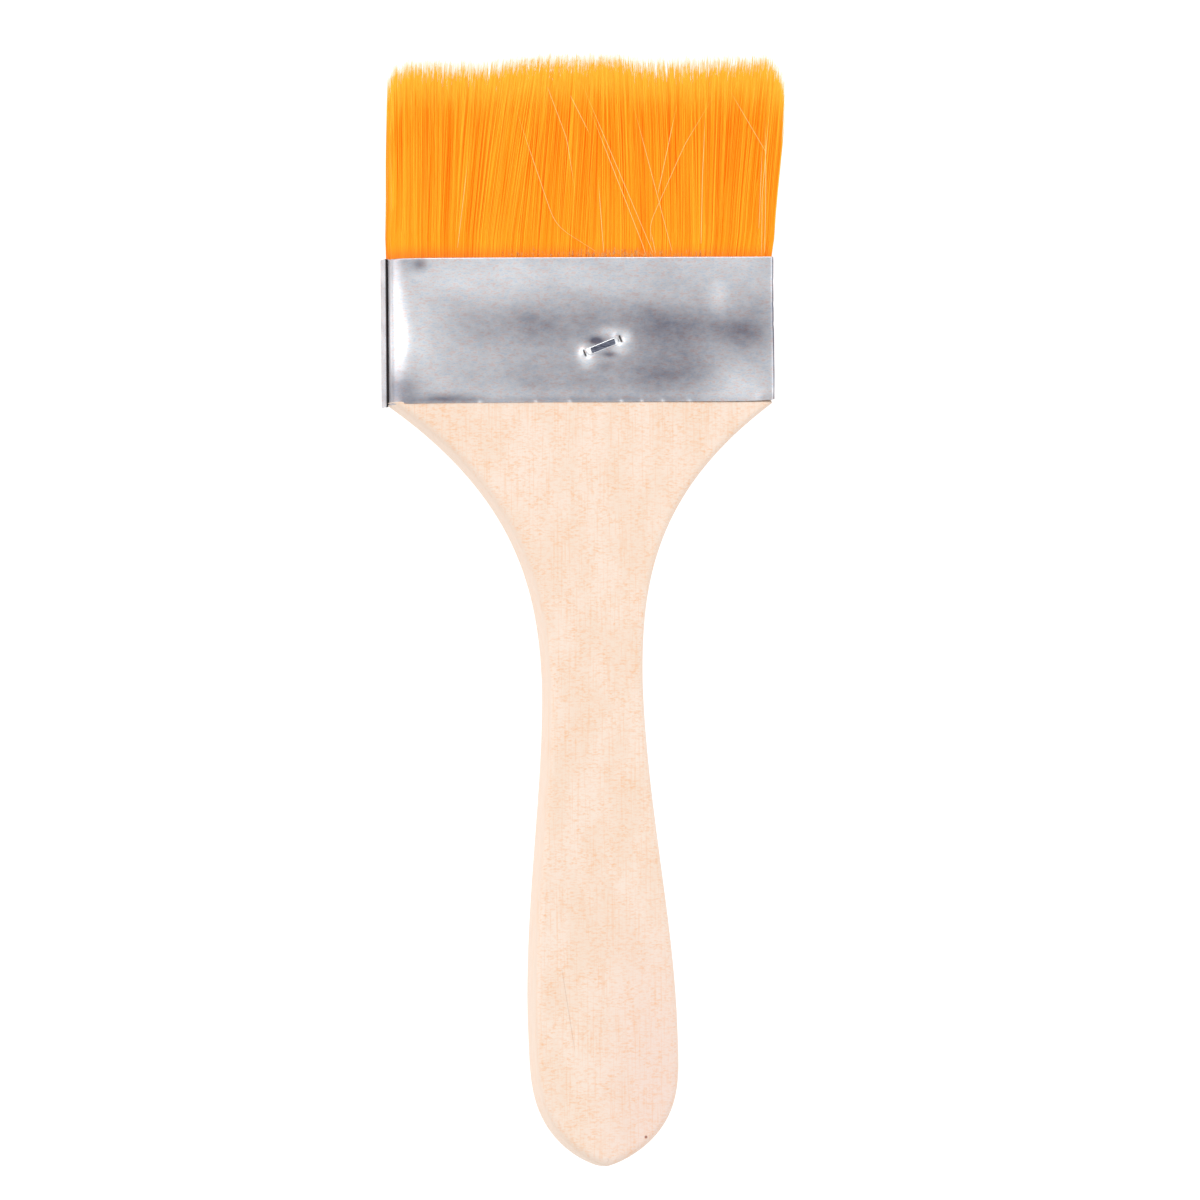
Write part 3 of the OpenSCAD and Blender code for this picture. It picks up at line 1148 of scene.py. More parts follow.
    def middle(self) -> tuple[np.ndarray, np.ndarray]:
        """Bend, press and crimp the middle surface, and dull or brighten it, partly with painted highlights
        and painted shade.

        Returns:
            The middle surface, path by row by three, and its dulling, partly the tin's own and partly painted
            light.
        """
        line, y = self.path(), self.rows()
        shape = (len(line), len(y))
        x = np.broadcast_to(line[:, :1], shape)
        z = np.broadcast_to(line[:, 1:], shape)
        along = np.broadcast_to(y[None, :], shape)
        front_share = smooth((z - (self.high[2] - 1.3)) / 1.1)
        from_wall = np.clip(x - self.low[0] - 0.9, 0.0, None)
        roll = 1.1 * np.exp(-from_wall / 2.8) * bell(along + 0.8, 5.8) * smooth((z - self.fold_z - 0.3) / 1.6)
        pressed = z + self.relief(x, along) * front_share - roll * smooth((self.high[0] - x) / 20.0)
        kinks = sum(bell(along - place, 0.5) for place in self.kinks)
        nicks = sum(bell(x - place, 0.35) for place in self.crimps) * bell(along - self.low[1] - 0.2, 0.35)
        side = smooth((x - self.high[0] + 1.0) / 0.7)
        moved_x = x - 0.07 * kinks * side + 0.05 * drift(along, z, (14.0, 9.0), 8) * side
        points = np.stack([moved_x, along + self.rim_shift(x, along, z), pressed], 2)
        spots = sum(spot.at(x, along) for spot in self.tarnish)
        wander = 0.05 * drift(x, along, (22.0, 11.0), 12)
        above_fold = smooth((z - self.fold_z - 0.6) / 0.8)
        # Painted shade along the right bend just below the front face
        dark_right_bend = 0.55 * side * smooth((z - self.high[2] + 0.75) / 0.3) * smooth((self.high[2] - 0.16 - z) / 0.1)
        # Brighter along the mouth's rim
        brighter_at_mouth = -0.35 * bell(along - self.high[1], 0.25) * front_share
        # Darker along the heel, with painted highlights on the crimped nicks
        crimped = (0.14 * bell(along - self.low[1] - 0.5, 0.5) - 0.6 * nicks) * front_share
        walls = 0.12 * (1.0 - above_fold) * (1.0 + 0.5 * drift(along, z, (9.0, 12.0), 15))
        return points, np.clip(0.30 + spots * above_fold + wander + dark_right_bend + brighter_at_mouth + crimped + walls, 0.0, 1.0)

    def build(self) -> bpy.types.Object:
        """Give the middle surface its thickness and round its raw rims.

        The outer and inner skins lie half a sheet either side along the
        surface's normal; both narrow to the middle line within 0.12 mm of
        each rim, so the raw edge is a small round.

        Returns:
            The ferrule, riding on the brush, with its dulling and painted light, and its painted shade.
        """
        middle, tarnish = self.middle()
        along_path = np.gradient(middle, axis=0)
        along_brush = np.gradient(middle, axis=1)
        normal = unit(np.cross(along_brush, along_path))
        rows = self.rows()
        ease = 0.12
        near = np.minimum(rows - rows[0], rows[-1] - rows)
        narrowing = np.sqrt(np.clip(1.0 - (1.0 - np.clip(near / ease, 0.0, 1.0)) ** 2, 0.0, 1.0))
        offset = normal * (self.sheet / 2.0) * narrowing[None, :, None]
        outer = middle + offset
        inner = (middle - offset)[:, -2:0:-1]
        loops = np.concatenate([outer, inner], 1)
        path_steps, ring = loops.shape[:2]
        faces = grid_faces(path_steps, ring, False, True)
        caps = np.concatenate([self.end_cap(0, ring, True), self.end_cap(path_steps - 1, ring, False)])
        # The first and last faces of a cap are triangles, which name one point twice
        every = faces.tolist() + [list(dict.fromkeys(cap)) for cap in caps.tolist()]
        piece = make_piece("tinplate_ferrule", loops, every, self.finish.material())
        # The tin's dulling with painted reflection, highlight and shade; then the painted shade of crevice
        # and slots
        add_point_values(piece, "Tarnish", np.concatenate([tarnish, tarnish[:, -2:0:-1]], 1))
        add_point_values(piece, "Grime", self.grime(loops))
        return ride(piece, Body.BRUSH, "tinplate", "ferrule")

    @staticmethod
    def end_cap(step: int, ring: int, first: bool) -> np.ndarray:
        """Join the two skins across a raw end of the path.

        Args:
            step: Place of the end along the path.
            ring: Number of points round the sheet at one place.
            first: Whether it is the path's first end.

        Returns:
            Point numbers, four for each face.
        """
        half = ring // 2
        j = np.arange(half)
        base = step * ring
        corners = [base + j, base + (ring - j) % ring, base + (ring - j - 1) % ring, base + j + 1]
        cap = np.stack(corners, 1)
        return cap if first else cap[:, ::-1]

    def grime(self, points: np.ndarray) -> np.ndarray:
        """Share of painted shade: full in the seam's crevice and in the slots past the staple's legs.

        Args:
            points: The sheet's points.

        Returns:
            The share at each point, from 0 to 1.
        """
        x, y, z = points[..., 0], points[..., 1], points[..., 2]
        depth = smooth((x - self.low[0] - 0.08) / 0.14)
        band = smooth((z - self.fold_z + 0.45) / 0.2) * smooth((self.fold_z + 0.55 - z) / 0.3)
        left = smooth((self.low[0] + 1.2 - x) / 0.1)
        along, across = self.staple_axes(x, y)
        past_leg = np.abs(along) - self.staple_span / 2.0 - 0.12
        slot = bell(past_leg, 0.2) * smooth((0.85 - np.abs(across)) / 0.3)
        on_front = smooth((z - self.high[2] + 1.8) / 0.4)
        return depth * band * left + np.clip(1.5 * slot * on_front, 0.0, 1.0)

    def staple_axes(self, x: np.ndarray, y: np.ndarray) -> tuple[np.ndarray, np.ndarray]:
        """Turn places on the face into distances along and across the staple.

        Args:
            x: Places across the brush.
            y: Places along the brush.

        Returns:
            Distances from the staple's middle, along it and across it.
        """
        turn = math.radians(self.staple_turn)
        dx, dy = x - self.staple_centre[0], y - self.staple_centre[1]
        return dx * math.cos(turn) + dy * math.sin(turn), dy * math.cos(turn) - dx * math.sin(turn)


# --------------------------------------------------------------------------
# Staples
# --------------------------------------------------------------------------


@dataclass
class Staple:
    """A flat-wire staple: a crown, two round bends and two straight legs."""

    name: str
    node: str
    centre: tuple[float, float]
    turn: float
    facing: int
    span: float = 7.5
    width: float = 1.45
    thickness: float = 0.6
    leg: float = 4.4
    bend: float = 1.2
    proud: float = 0.22
    sag: float = 0.06
    finish: Finish = DrawnWire()

    def line(self) -> np.ndarray:
        """Middle line in the staple's own plane.

        Two straight legs and two round bends stand either side of a crown
        that sags by a cosine.

        Returns:
            Points as rows of the place along and the height above the face.
        """
        half = self.span / 2.0 - self.thickness / 2.0
        top = self.proud - self.thickness / 2.0
        quarter = np.radians(np.linspace(0.0, 90.0, 9))
        left_bend = np.stack(
            [-half + self.bend * (1.0 - np.cos(quarter)), top - self.bend + self.bend * np.sin(quarter)], 1
        )
        right_bend = left_bend[::-1] * np.array([-1.0, 1.0])
        down = np.linspace(-self.leg, -self.bend - 0.2, 8) + top
        left_leg = np.stack([np.full(8, -half), down], 1)
        right_leg = left_leg[::-1] * np.array([-1.0, 1.0])
        across = np.linspace(-half + self.bend + 0.15, half - self.bend - 0.15, 22)
        crown = np.stack([across, top - self.sag * np.cos(across / half * math.pi / 2.0)], 1)
        return np.concatenate([left_leg, left_bend, crown, right_bend, right_leg])

    def build(self, face_z: float) -> bpy.types.Object:
        """Carry the wire's rounded oblong section along the middle line.

        The section is a superellipse: cosine and sine of the angle, each to
        the power 0.4, times half the width and half the thickness.

        Args:
            face_z: Height of the ferrule's face that the crown lies on.

        Returns:
            The staple, riding on the brush.
        """
        line = self.line()
        tangent = unit(np.gradient(line, axis=0))
        normal = np.stack([-tangent[:, 1], tangent[:, 0]], 1)
        angle = np.linspace(0.0, 2.0 * math.pi, 21)[:-1]
        side = np.sign(np.cos(angle)) * np.abs(np.cos(angle)) ** 0.4 * self.width / 2.0
        up = np.sign(np.sin(angle)) * np.abs(np.sin(angle)) ** 0.4 * self.thickness / 2.0
        along = line[:, :1] + normal[:, :1] * up[None, :]
        height = line[:, 1:] + normal[:, 1:] * up[None, :]
        across = np.broadcast_to(side[None, :], along.shape)
        turn = math.radians(self.turn)
        x = self.centre[0] + along * math.cos(turn) - across * math.sin(turn)
        y = self.centre[1] + along * math.sin(turn) + across * math.cos(turn)
        z = face_z + self.facing * height
        rings = np.stack([x, y, z], 2)
        rows, columns = rings.shape[:2]
        faces = grid_faces(rows, columns, False, True).tolist()
        faces.append(list(range(columns)))
        faces.append([(rows - 1) * columns + k for k in range(columns)][::-1])
        piece = make_piece(self.name, rings, faces, self.finish.material(), merge=0.0005)
        return ride(piece, Body.BRUSH, "staple_wire", self.node)


# --------------------------------------------------------------------------
# Filaments
# --------------------------------------------------------------------------


@dataclass
class FilamentBrush:
    """The two banks of tapered filaments, and the few that have strayed."""

    count: int = 7600
    pieces: int = 2
    rings: int = 8
    radius: float = 0.125
    # Depth inside the mouth where the drawn filaments begin
    root_depth: float = 1.2
    # Span of the roots and of the tips across the brush, and the bulge just above the mouth
    root_span: tuple[float, float] = (-37.65, 38.05)
    tip_span: tuple[float, float] = (-37.5, 41.8)
    edge_bulge: float = 0.35
    # Depth over which the flagged tips end, and how far the longest pass the tip line
    fringe: float = 7.0
    overshoot: float = 0.4
    # Pitch of the tufts that the tips gather in
    tuft: float = 0.9
    # Share of strands that cross their neighbours, and how far those stray
    crossing_share: float = 0.06
    crossing_reach: float = 1.5
    # Free length over which the bend is spread
    bend_length: float = 26.0
    stray_radius: float = 0.065
    speck_count: int = 950
    seed: int = 41
    finish: Finish = TaperedNylon()
    # Tip line from left to right: places across and along the brush
    tip_line: tuple[tuple[float, float], ...] = (
        (-38.0, 46.5),
        (-37.6, 49.2),
        (-37.0, 51.0),
        (-36.0, 52.3),
        (-33.5, 53.0),
        (-25.0, 53.1),
        (-19.5, 53.0),
        (-13.0, 53.6),
        (-4.5, 54.5),
        (7.5, 54.5),
        (14.5, 53.9),
        (24.5, 54.2),
        (37.8, 54.6),
        (39.6, 53.8),
        (40.9, 52.4),
        (42.0, 49.5),
    )

    def __post_init__(self) -> None:
        """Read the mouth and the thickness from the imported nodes."""
        low, high = node_box("ferrule")
        self.mouth = high[1]
        self.mid = float(low[2] + high[2]) / 2.0
        front_low, front_high = node_box("filaments_front")
        self.inner_gap = front_low[2] - self.mid
        self.outer_reach = front_high[2] - self.mid

    def tip_height(self, x: np.ndarray) -> np.ndarray:
        """Height of the tip line at x, by straight stretches between its points."""
        table = np.array(self.tip_line)
        return np.interp(x, table[:, 0], table[:, 1]) + self.overshoot

    def across(self, share: np.ndarray, height: np.ndarray) -> np.ndarray:
        """Place across at a share of the width and of the height.

        Both edges bulge quickly just above the mouth. Then the right one
        runs straight and the left one eases across.

        Args:
            share: Share of the width, from 0 at the left.
            height: Share of the height, from 0 at the root.

        Returns:
            The place across, in millimetres.
        """
        (left_root, right_root), (left_tip, right_tip) = self.root_span, self.tip_span
        swell = self.edge_bulge * bulge(height)
        left = left_root + (left_tip - left_root) * smooth(height) - swell
        right = right_root + (right_tip - right_root) * height + swell
        return left + (right - left) * share

    def strands(self, bank: Bank, draw: np.random.Generator) -> tuple[np.ndarray, np.ndarray]:
        """Lay out the middle lines of one bank.

        A strand starts on a jittered grid at the mouth, fans with the width,
        wanders by a slow lean that changes across the brush, and is drawn
        towards the middle of its tuft by the cube of its height.

        Args:
            bank: Side of the spacer strip.
            draw: Random generator.

        Returns:
            Points, strand by ring by three, and each strand's tone number.
        """
        share = (np.arange(self.count) + draw.uniform(0.0, 1.0, self.count)) / self.count
        share = share - 0.02 * np.sin(2.0 * math.pi * share)
        depth = draw.uniform(0.0, 1.0, self.count)
        step = np.linspace(0.0, 1.0, self.rings)
        step = 1.0 - (1.0 - step) ** 1.15
        height = step[None, :]
        base = self.across(share[:, None], height)
        tuft_centre = (np.floor(base[:, -1] / self.tuft) + 0.5) * self.tuft
        tuft_centre = tuft_centre + 0.5 * drift(tuft_centre, tuft_centre, (7.0, 7.0), 3)
        level = np.floor(depth * 5.0)
        # One number for each tuft and layer, whose sines serve as its own random draws
        tuft_key = tuft_centre * 1.7 + level * 9.1 + 40.0 * (bank is Bank.BACK)
        lean = 3.6 * bell(base[:, -1] + 16.0, 11.0) - 3.8 * bell(base[:, -1] - 17.0, 9.0)
        lean = lean + 1.1 * drift(base[:, -1] + 3.0 * level, level, (15.0, 4.0), 9)
        lean = lean + 0.4 * np.sin(tuft_key * 12.9898)
        crossing = draw.uniform(0.0, 1.0, self.count) < self.crossing_share
        stray = draw.normal(0.0, 1.0, self.count) * np.where(crossing, self.crossing_reach, 0.16)
        pull = 0.14 * (tuft_centre - base[:, -1])
        edge = smooth(share / 0.1) * smooth((1.0 - share) / 0.1)
        sideways = (lean + stray) * edge
        x = base + sideways[:, None] * height**1.3 + pull[:, None] * height**3
        uneven = self.fringe * draw.uniform(0.0, 1.0, self.count) ** 0.67
        tuft_drop = 0.12 * (1.0 + np.sin(tuft_key * 78.233)) * 0.5
        tip = self.tip_height(x[:, -1]) - uneven - tuft_drop
        root = self.mouth - self.root_depth
        y = root + (tip - root)[:, None] * height
        # The banks close up over the spacer and thin towards the tips
        gap = self.inner_gap * (1.0 - smooth(height / 0.5))
        evened = smooth(height / 0.7)
        deep = np.sqrt(depth)[:, None] * (1.0 - evened) + depth[:, None] * evened
        layer = (self.outer_reach - self.inner_gap) * deep * (1.0 + 0.06 * height - 0.30 * height**2)
        ripple = 0.12 * np.sin(tuft_key[:, None] * 5.3 + 5.0 * height) * height
        mingled = -0.9 * draw.uniform(0.0, 1.0, self.count)[:, None] * height**2
        z = self.mid + bank.value * np.minimum(gap + layer + ripple + mingled, self.room(x))
        tone = (np.sin(tuft_key * 3.7) * 0.5 + 0.5) * 0.25 + draw.uniform(0.0, 1.0, self.count) * 0.75
        return np.stack([x, y, z], 2), tone

    def room(self, x: np.ndarray) -> np.ndarray:
        """Room above the middle at x, where the soft left bend and the right bend close in.

        Args:
            x: Places across the brush.

        Returns:
            The greatest distance from the middle that a strand may have.
        """
        left = np.clip((self.root_span[0] + 5.0 - x) / 5.0, 0.0, 1.0)
        right = np.clip((x - self.root_span[1] + 0.9) / 0.9, 0.0, 1.0)
        return self.outer_reach - 1.7 * (1.0 - np.sqrt(1.0 - left**2)) - 0.5 * right**2

    def tubes(self, name: str, lines: np.ndarray, tone: np.ndarray, radius: float) -> bpy.types.Object:
        """Sweep three-sided tapered tubes along many middle lines at once.

        A ring is three points round the middle line; the radius is full to
        six tenths of the length and then eases to a tenth. Both ends are
        closed by a triangle.

        Args:
            name: Name of the piece.
            lines: Middle lines, strand by ring by three.
            tone: Tone number of each strand, 0 to 1.
            radius: Radius of the untapered part.

        Returns:
            The piece, with its strand map.
        """
        count, rings = lines.shape[:2]
        share = np.linspace(0.0, 1.0, rings)
        taper = radius * (1.0 - 0.9 * smooth((share - 0.6) / 0.4))
        turn = np.arange(count)[:, None] * 2.399963 + np.arange(3)[None, :] * 2.0 * math.pi / 3.0
        spokes = np.stack([np.cos(turn), np.zeros_like(turn), np.sin(turn)], 2)
        points = lines[:, :, None, :] + spokes[:, None, :, :] * taper[None, :, None, None]
        tube = grid_faces(rings, 3, False, True)
        block = np.arange(count)[:, None, None] * (rings * 3)
        sides = (tube[None, :, ::-1] + block).reshape(-1, 4)
        starts = (np.array([[2, 1, 0]])[None] + block).reshape(-1, 3)
        ends = (np.array([[0, 1, 2]])[None] + (rings - 1) * 3 + block).reshape(-1, 3)
        mesh = bpy.data.meshes.new(name)
        loops = np.concatenate([sides.ravel(), starts.ravel(), ends.ravel()])
        sizes = np.concatenate([np.full(len(sides), 4), np.full(len(starts) + len(ends), 3)])
        mesh.vertices.add(points.size // 3)
        mesh.vertices.foreach_set("co", (points * MM).astype(np.float32).ravel())
        mesh.loops.add(len(loops))
        mesh.loops.foreach_set("vertex_index", loops.astype(np.int32))
        mesh.polygons.add(len(sizes))
        first_loops = np.concatenate([[0], np.cumsum(sizes)[:-1]])
        mesh.polygons.foreach_set("loop_start", first_loops.astype(np.int32))
        mesh.update(calc_edges=True)
        mesh.polygons.foreach_set("use_smooth", np.ones(len(sizes), bool))
        across = np.repeat(tone, rings * 3)
        along = np.tile(np.repeat(share, 3), count)
        uv = np.stack([across, along], 1)[loops].astype(np.float32)
        for layer in ("OFBake", "Strand"):
            mesh.uv_layers.new(name=layer).data.foreach_set("uv", uv.ravel())
        mesh.materials.append(self.material)
        mesh.validate()
        piece = bpy.data.objects.new(name, mesh)
        bpy.context.scene.collection.objects.link(piece)
        return piece

    def bend_with_joint(self, piece: bpy.types.Object) -> bpy.types.Object:
        """Bake a piece's place into its mesh.

        Args:
            piece: A piece of free filaments.

        Returns:
            The same piece.
        """
        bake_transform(piece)
        return piece

    def build(self) -> list[bpy.types.Object]:
        """Make both banks in pieces, then the strays.

        Returns:
            The pieces.
        """
        self.material = self.finish.material()
        draw = np.random.default_rng(self.seed)
        made = []
        for bank in Bank:
            lines, tone = self.strands(bank, draw)
            label = bank.name.lower()
            for part in range(self.pieces):
                chosen = slice(part, None, self.pieces)
                piece = self.tubes(f"filaments_{label}_{part + 1}", lines[chosen], tone[chosen], self.radius)
                self.bend_with_joint(piece)
                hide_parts(f"filaments_{label}")
                made.append(piece)
        made.append(self.build_strays())
        return made

    def build_strays(self) -> bpy.types.Object:
        """Lay the pale strays across the front bank, in straight runs with a bend between.

        Returns:
            The strays as one piece. Each row below is one stray's points, in x and y.
        """
        strays = (
            ((6.0, 13.6), (3.6, 14.9), (-4.0, 19.6), (-5.6, 21.4), (-13.4, 44.4)),
            ((15.0, 13.6), (14.4, 14.9), (0.1, 48.8)),
            ((13.2, 13.6), (12.4, 16.3), (1.6, 43.9)),
            ((-2.0, 45.9), (2.0, 38.0)),
            ((-6.6, 47.6), (-2.8, 37.4), (-1.2, 26.8)),
            ((13.9, 17.4), (13.7, 20.8), (20.9, 36.5), (27.0, 46.2)),
            ((37.4, 34.8), (29.9, 47.4)),
            ((14.9, 14.6), (13.9, 19.4)),
            ((15.4, 26.9), (19.3, 44.0)),
            ((24.0, 17.0), (24.4, 30.0), (25.2, 44.5)),
            ((36.8, 14.6), (37.2, 29.0), (37.1, 42.9)),
            ((36.2, 14.4), (36.4, 26.0), (38.2, 45.0)),
            ((35.7, 20.0), (36.6, 37.0)),
            ((18.3, 14.8), (10.4, 45.0)),
            ((-24.9, 16.0), (-22.6, 34.0)),
            ((4.4, 14.8), (3.4, 30.0)),
        )
        lines = []
        for place, stray in enumerate(strays):
            run = np.array(stray)
            length = np.concatenate([[0.0], np.cumsum(np.linalg.norm(np.diff(run, axis=0), axis=1))])
            at = np.linspace(0.0, length[-1], 33)
            x, y = (eased(np.interp(at, length, run[:, axis])) for axis in (0, 1))
            rooted = smooth((y - self.mouth) / 2.0)
            z = self.mid + self.outer_reach + 0.09 + 0.03 * (place % 3) - 0.3 * (1.0 - rooted)
            lines.append(np.stack([x, y, z], 1))
        tone = np.full(len(strays), 0.5)
        piece = self.tubes("stray_filaments", np.array(lines), tone, self.stray_radius)
        pale = TaperedNylon(name="stray_nylon", deep="#fec678", light="#ffd08a", root="#f3ab5a")
        piece.data.materials.clear()
        piece.data.materials.append(pale.material())
        return self.bend_with_joint(piece)

    def build_specks(self) -> bpy.types.Object:
        """Scatter resin specks where the setting resin has wicked out of the mouth.

        A speck is a flattened dome: a half ball of four rings by six sides,
        stretched along the filaments. Two thirds of the specks gather near
        the middle and the rest lie anywhere between two ends.

        Returns:
            The specks as one piece, riding on the brush.
        """
        draw = np.random.default_rng(self.seed + 1)
        count = self.speck_count
        gathered = draw.uniform(size=count) < 0.65
        x = np.where(gathered, draw.normal(8.0, 7.0, count), draw.uniform(-16.0, 26.0, count))
        clump = 0.5 + 0.5 * np.sin(x * 2.1) * np.sin(x * 0.9 + 1.0)
        y = self.mouth + 0.10 + np.abs(draw.normal(0.0, 0.45, count))
        y = y + 0.9 * clump * draw.uniform(0.0, 1.0, count)
        size = draw.uniform(0.04, 0.09, count)
        long = size * draw.uniform(1.5, 5.0, count)
        ring = np.radians(np.array([0.0, 30.0, 60.0, 88.0]))
        side = np.radians(np.arange(6) * 60.0)
        across = np.cos(ring)[:, None] * np.cos(side)[None, :]
        along = np.cos(ring)[:, None] * np.sin(side)[None, :]
        up = np.broadcast_to(np.sin(ring)[:, None], across.shape)
        surface = self.mid + self.outer_reach - 0.05
        x, y, size, long = (row[:, None, None] for row in (x, y, size, long))
        points = np.stack([x + across * size, y + along * long, surface + up * size * 0.6], 3)
        rings, sides = across.shape
        corners = rings * sides
        dome = grid_faces(rings, sides, False, True).tolist()
        dome += [list(range(corners - sides, corners)), list(range(sides))[::-1]]
        faces = [[number + corners * k for number in face] for k in range(count) for face in dome]
        wicked = CastResin(name="wicked_resin", colour="#de8840", light="#eca24c")
        piece = make_piece("resin_specks", points, faces, wicked.material())
        return ride(piece, Body.BRUSH, "resin")


def bulge(height: np.ndarray) -> np.ndarray:
    """Quick rise and slow fall just above the mouth: u times e to the one minus u."""
    u = height / 0.07
    return np.where(height > 0.02, u * np.exp(1.0 - u), 0.0)


def eased(values: np.ndarray) -> np.ndarray:
    """Round a run's corners: each value becomes the mean of it and its neighbours, twice over.

    Args:
        values: The run.

    Returns:
        The rounded run, with both ends where they were.
    """
    for _ in range(2):
        values = np.concatenate([values[:1], (values[:-2] + values[1:-1] + values[2:]) / 3.0, values[-1:]])
    return values


# --------------------------------------------------------------------------
# Studio
# --------------------------------------------------------------------------


@dataclass
class Studio:
    """White sweep, soft light and the camera."""

    # Turn of the view to the left and toward the handle, and its roll, in degrees
    lean_left: float = 12.6
    lean_down: float = 1.6
    roll: float = 0.5
    distance: float = 2600.0
    view_width: float = 235.46
    aim_shift: tuple[float, float, float] = (2.65, 2.28, 0.0)
    # The floor lies this far under the brush, clear of the flexed filaments
    floor_drop: float = 30.0
    floor_radius: float = 9000.0
    # The floor's own grey and how strongly it glows
    floor_grey: float = 0.45
    floor_glow: float = 0.72
    # Strength of the surroundings as light, and as they look behind the brush
    room_light: float = 0.72
    backdrop_light: float = 1.1
    # Soft lights: name, middle as seen from the middle of the brush, two sides, and watts
    softboxes: tuple[tuple[str, tuple[float, float, float], tuple[float, float], float], ...] = (
        ("left_softbox", (-1150.0, 150.0, 1000.0), (1500.0, 1500.0), 8.8),
        ("right_softbox", (1350.0, -150.0, 900.0), (1100.0, 1700.0), 7.0),
        ("tip_softbox", (-100.0, 1500.0, 1000.0), (1600.0, 900.0), 7.2),
    )

    def build(self) -> None:
        """Make the floor, the lights and the camera."""
        self.add_camera()
        self.add_floor()
        self.add_world()
        for softbox in self.softboxes:
            self.add_softbox(*softbox)
        bpy.context.scene.view_settings.view_transform = "Standard"

    def centre(self) -> Vector:
        """Middle of the CAD box, in metres."""
        return (CAD_BOX[0] + CAD_BOX[1]) / 2.0

    def add_camera(self) -> None:
        """Place a long lens almost straight above, turned to the left."""
        turn, tip = math.radians(self.lean_left), math.radians(self.lean_down)
        back = Vector((-math.sin(turn) * math.cos(tip), -math.sin(tip), math.cos(turn) * math.cos(tip)))
        right = Vector((math.cos(turn), 0.0, math.sin(turn)))
        up = back.cross(right)
        target = self.centre() + Vector(self.aim_shift) * MM
        data = bpy.data.cameras.new("camera")
        data.sensor_width = 36.0
        data.lens = data.sensor_width * self.distance / self.view_width
        data.clip_end = 50.0
        camera = bpy.data.objects.new("camera", data)
        bpy.context.scene.collection.objects.link(camera)
        axes = Matrix((right, up, back)).transposed().to_4x4()
        camera.matrix_world = (
            Matrix.Translation(target + back * self.distance * MM)
            @ axes
            @ Matrix.Rotation(-math.radians(self.roll), 4, "Z")
        )
        bpy.context.scene.camera = camera

    def add_floor(self) -> None:
        """Lay a wide pale disc under the brush."""
        angle = np.linspace(0.0, 2.0 * math.pi, 97)[:-1]
        rim = np.stack([np.cos(angle), np.sin(angle), np.zeros(96)], 1) * self.floor_radius
        rim[:, 2] = CAD_BOX[0][2] / MM - self.floor_drop
        floor = make_piece("floor", rim, [list(range(96))], self.floor_material())

    def floor_material(self) -> bpy.types.Material:
        """White paper lit from behind: mostly its own glow, so that it hardly takes a shadow.

        Returns:
            The material.
        """
        made = bpy.data.materials.new("lit_white_paper")
        made.use_nodes = True
        shader = next(n for n in made.node_tree.nodes if n.type == "BSDF_PRINCIPLED")
        shader.inputs["Base Color"].default_value = (*[self.floor_grey] * 3, 1.0)
        shader.inputs["Roughness"].default_value = 0.9
        shader.inputs["Specular IOR Level"].default_value = 0.0
        shader.inputs["Emission Color"].default_value = (1.0, 1.0, 1.0, 1.0)
        shader.inputs["Emission Strength"].default_value = self.floor_glow
        return made

    def add_world(self) -> None:
        """Grey surroundings for light and reflections, white where seen directly."""
        world = bpy.data.worlds.new("studio")
        bpy.context.scene.world = world
        world.use_nodes = True
        tree = world.node_tree
        tree.nodes.clear()
        room, white = (
            add_node(tree, "ShaderNodeBackground", {"Color": colour, "Strength": strength}).outputs[0]
            for colour, strength in (
                ((0.95, 0.97, 1.0, 1.0), self.room_light),
                ((1.0, 1.0, 1.0, 1.0), self.backdrop_light),
            )
        )
        ray = add_node(tree, "ShaderNodeLightPath").outputs["Is Camera Ray"]
        mixed = add_node(tree, "ShaderNodeMixShader", {0: ray, 1: room, 2: white})
        add_node(tree, "ShaderNodeOutputWorld", {"Surface": mixed.outputs[0]})

    def add_softbox(
        self, name: str, place: tuple[float, float, float], size: tuple[float, float], power: float
    ) -> None:
        """Hang a rectangular soft light that faces the brush.

        Args:
            name: Name of the light.
            place: Its middle, in millimetres from the middle of the brush.
            size: Its two sides, in millimetres.
            power: Its power in watts.
        """
        data = bpy.data.lights.new(name, "AREA")
        data.shape = "RECTANGLE"
        data.size, data.size_y = size[0] * MM, size[1] * MM
        data.energy = power
        light = bpy.data.objects.new(name, data)
        light.visible_camera = False
        bpy.context.scene.collection.objects.link(light)
        light.location = self.centre() + Vector(place) * MM
        light.rotation_euler = Vector(place).to_track_quat("Z", "Y").to_euler()


# --------------------------------------------------------------------------
# The brush
# --------------------------------------------------------------------------


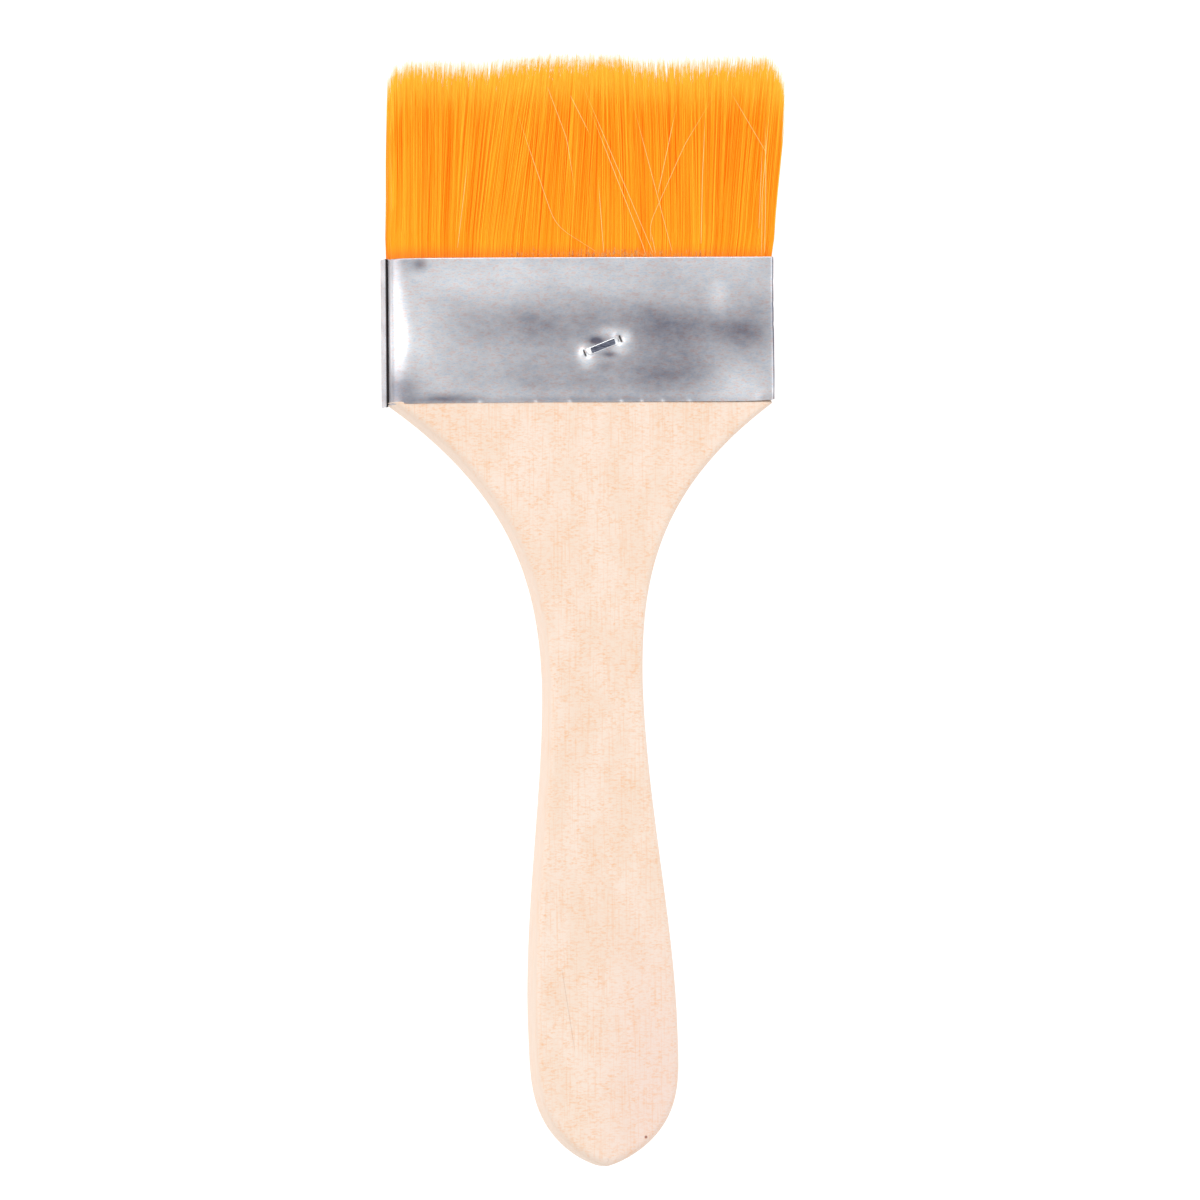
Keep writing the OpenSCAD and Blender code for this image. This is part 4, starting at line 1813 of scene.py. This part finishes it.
@dataclass
class Filling:
    """What fills the ferrule above the tongue: setting resin, then packed roots."""

    # Clearance from the sheet, and from the hem on the left
    gap: float = 0.5
    hem_gap: float = 0.95
    # Ease of the corners against the sheet: soft at the left, across and up, and tight at the right
    ease: tuple[float, float] = (5.2, 1.8)
    tight_ease: float = 0.6

    def section(self, node: str, near: float, far: float) -> np.ndarray:
        """Outline in x and z: quarter ellipses at the far corners, square near ones.

        Args:
            node: CAD node whose width is filled.
            near: Height of the flat side.
            far: Height of the side against the sheet.

        Returns:
            Points as rows of x and z.
        """
        low, high = node_box(node)
        left, right = low[0] + self.hem_gap, high[0] - self.gap
        side = 1.0 if far > near else -1.0
        top = far - side * self.gap
        reach_x, reach_z, tight = self.ease[0], side * self.ease[1], self.tight_ease
        soft = elliptic_bend((left + reach_x, top - reach_z), (reach_x, reach_z), (180.0, 90.0), 11)
        sharp = elliptic_bend((right - tight, top - side * tight), (tight, side * tight), (90.0, 0.0), 7)
        return np.concatenate([[[left, near]], soft, sharp, [[right, near]]])

    def block(
        self, name: str, node: str, near: float, far: float, finish: bpy.types.Material, slot: str
    ) -> bpy.types.Object:
        """Carry the section along the brush between the node's two ends and close them.

        Args:
            name: Name of the piece.
            node: CAD node that the piece stands for.
            near: Height of the flat side.
            far: Height of the side against the sheet.
            finish: Material of the piece.
            slot: Material slot of the piece.

        Returns:
            The block, riding on the brush.
        """
        low, high = node_box(node)
        section = self.section(node, near, far)
        count = len(section)
        points = np.zeros((2, count, 3))
        points[:, :, 0] = section[None, :, 0]
        points[:, :, 1] = np.array([low[1], high[1]])[:, None]
        points[:, :, 2] = section[None, :, 1]
        faces = grid_faces(2, count, False, True).tolist()
        faces += [list(range(count)), list(range(count, 2 * count))[::-1]]
        piece = make_piece(name, points, faces, finish, merge=0.0005)
        piece.data.polygons.foreach_set("use_smooth", np.zeros(len(piece.data.polygons), bool))
        return ride(piece, Body.BRUSH, slot, node)

    def build(self) -> list[bpy.types.Object]:
        """Make the resin in two halves and the roots of each bank.

        Returns:
            The four blocks, riding on the brush.
        """
        low, high = node_box("setting_resin")
        strip_low, strip_high = node_box("spacer_strip")
        middle = (low[2] + high[2]) / 2.0
        resin, roots = CastResin().material(), SoakedRoots().material()
        return [
            self.block("setting_resin_front", "setting_resin", middle, high[2], resin, "resin"),
            self.block("setting_resin_back", "setting_resin", middle, low[2], resin, "resin"),
            self.block("packed_roots_front", "filament_roots", strip_high[2], high[2], roots, "filament"),
            self.block("packed_roots_back", "filament_roots", strip_low[2], low[2], roots, "filament"),
        ]


def dress_frame() -> None:
    """Give the spacer strip, whose CAD shape stays, its finish."""
    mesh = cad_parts["spacer_strip"].data
    mesh.materials.clear()
    mesh.materials.append(SandedBirch(name="spacer_birch").material())


def main() -> None:
    """Build the brush piece by piece and log each one."""
    logging.basicConfig(level=logging.INFO, format="%(name)s: %(message)s")
    Studio().build()
    handle, ferrule, filaments = Handle(), Ferrule(), FilamentBrush()
    low, high = node_box("ferrule")
    staples = (
        Staple("wire_staple_front", "staple_front", ferrule.staple_centre, ferrule.staple_turn, 1),
        Staple("wire_staple_back", "staple_back", (-7.0, -4.5), 168.0, -1, proud=0.05),
    )
    pieces = [handle.build(), ferrule.build()]
    pieces += [staple.build(high[2] if staple.facing > 0 else low[2]) for staple in staples]
    pieces += filaments.build()
    pieces.append(filaments.build_specks())
    pieces += Filling().build()
    dress_frame()
    for piece in pieces:
        LOG.info("%s: %d faces", piece.name, len(piece.data.polygons))


if __name__ == "__main__":
    main()
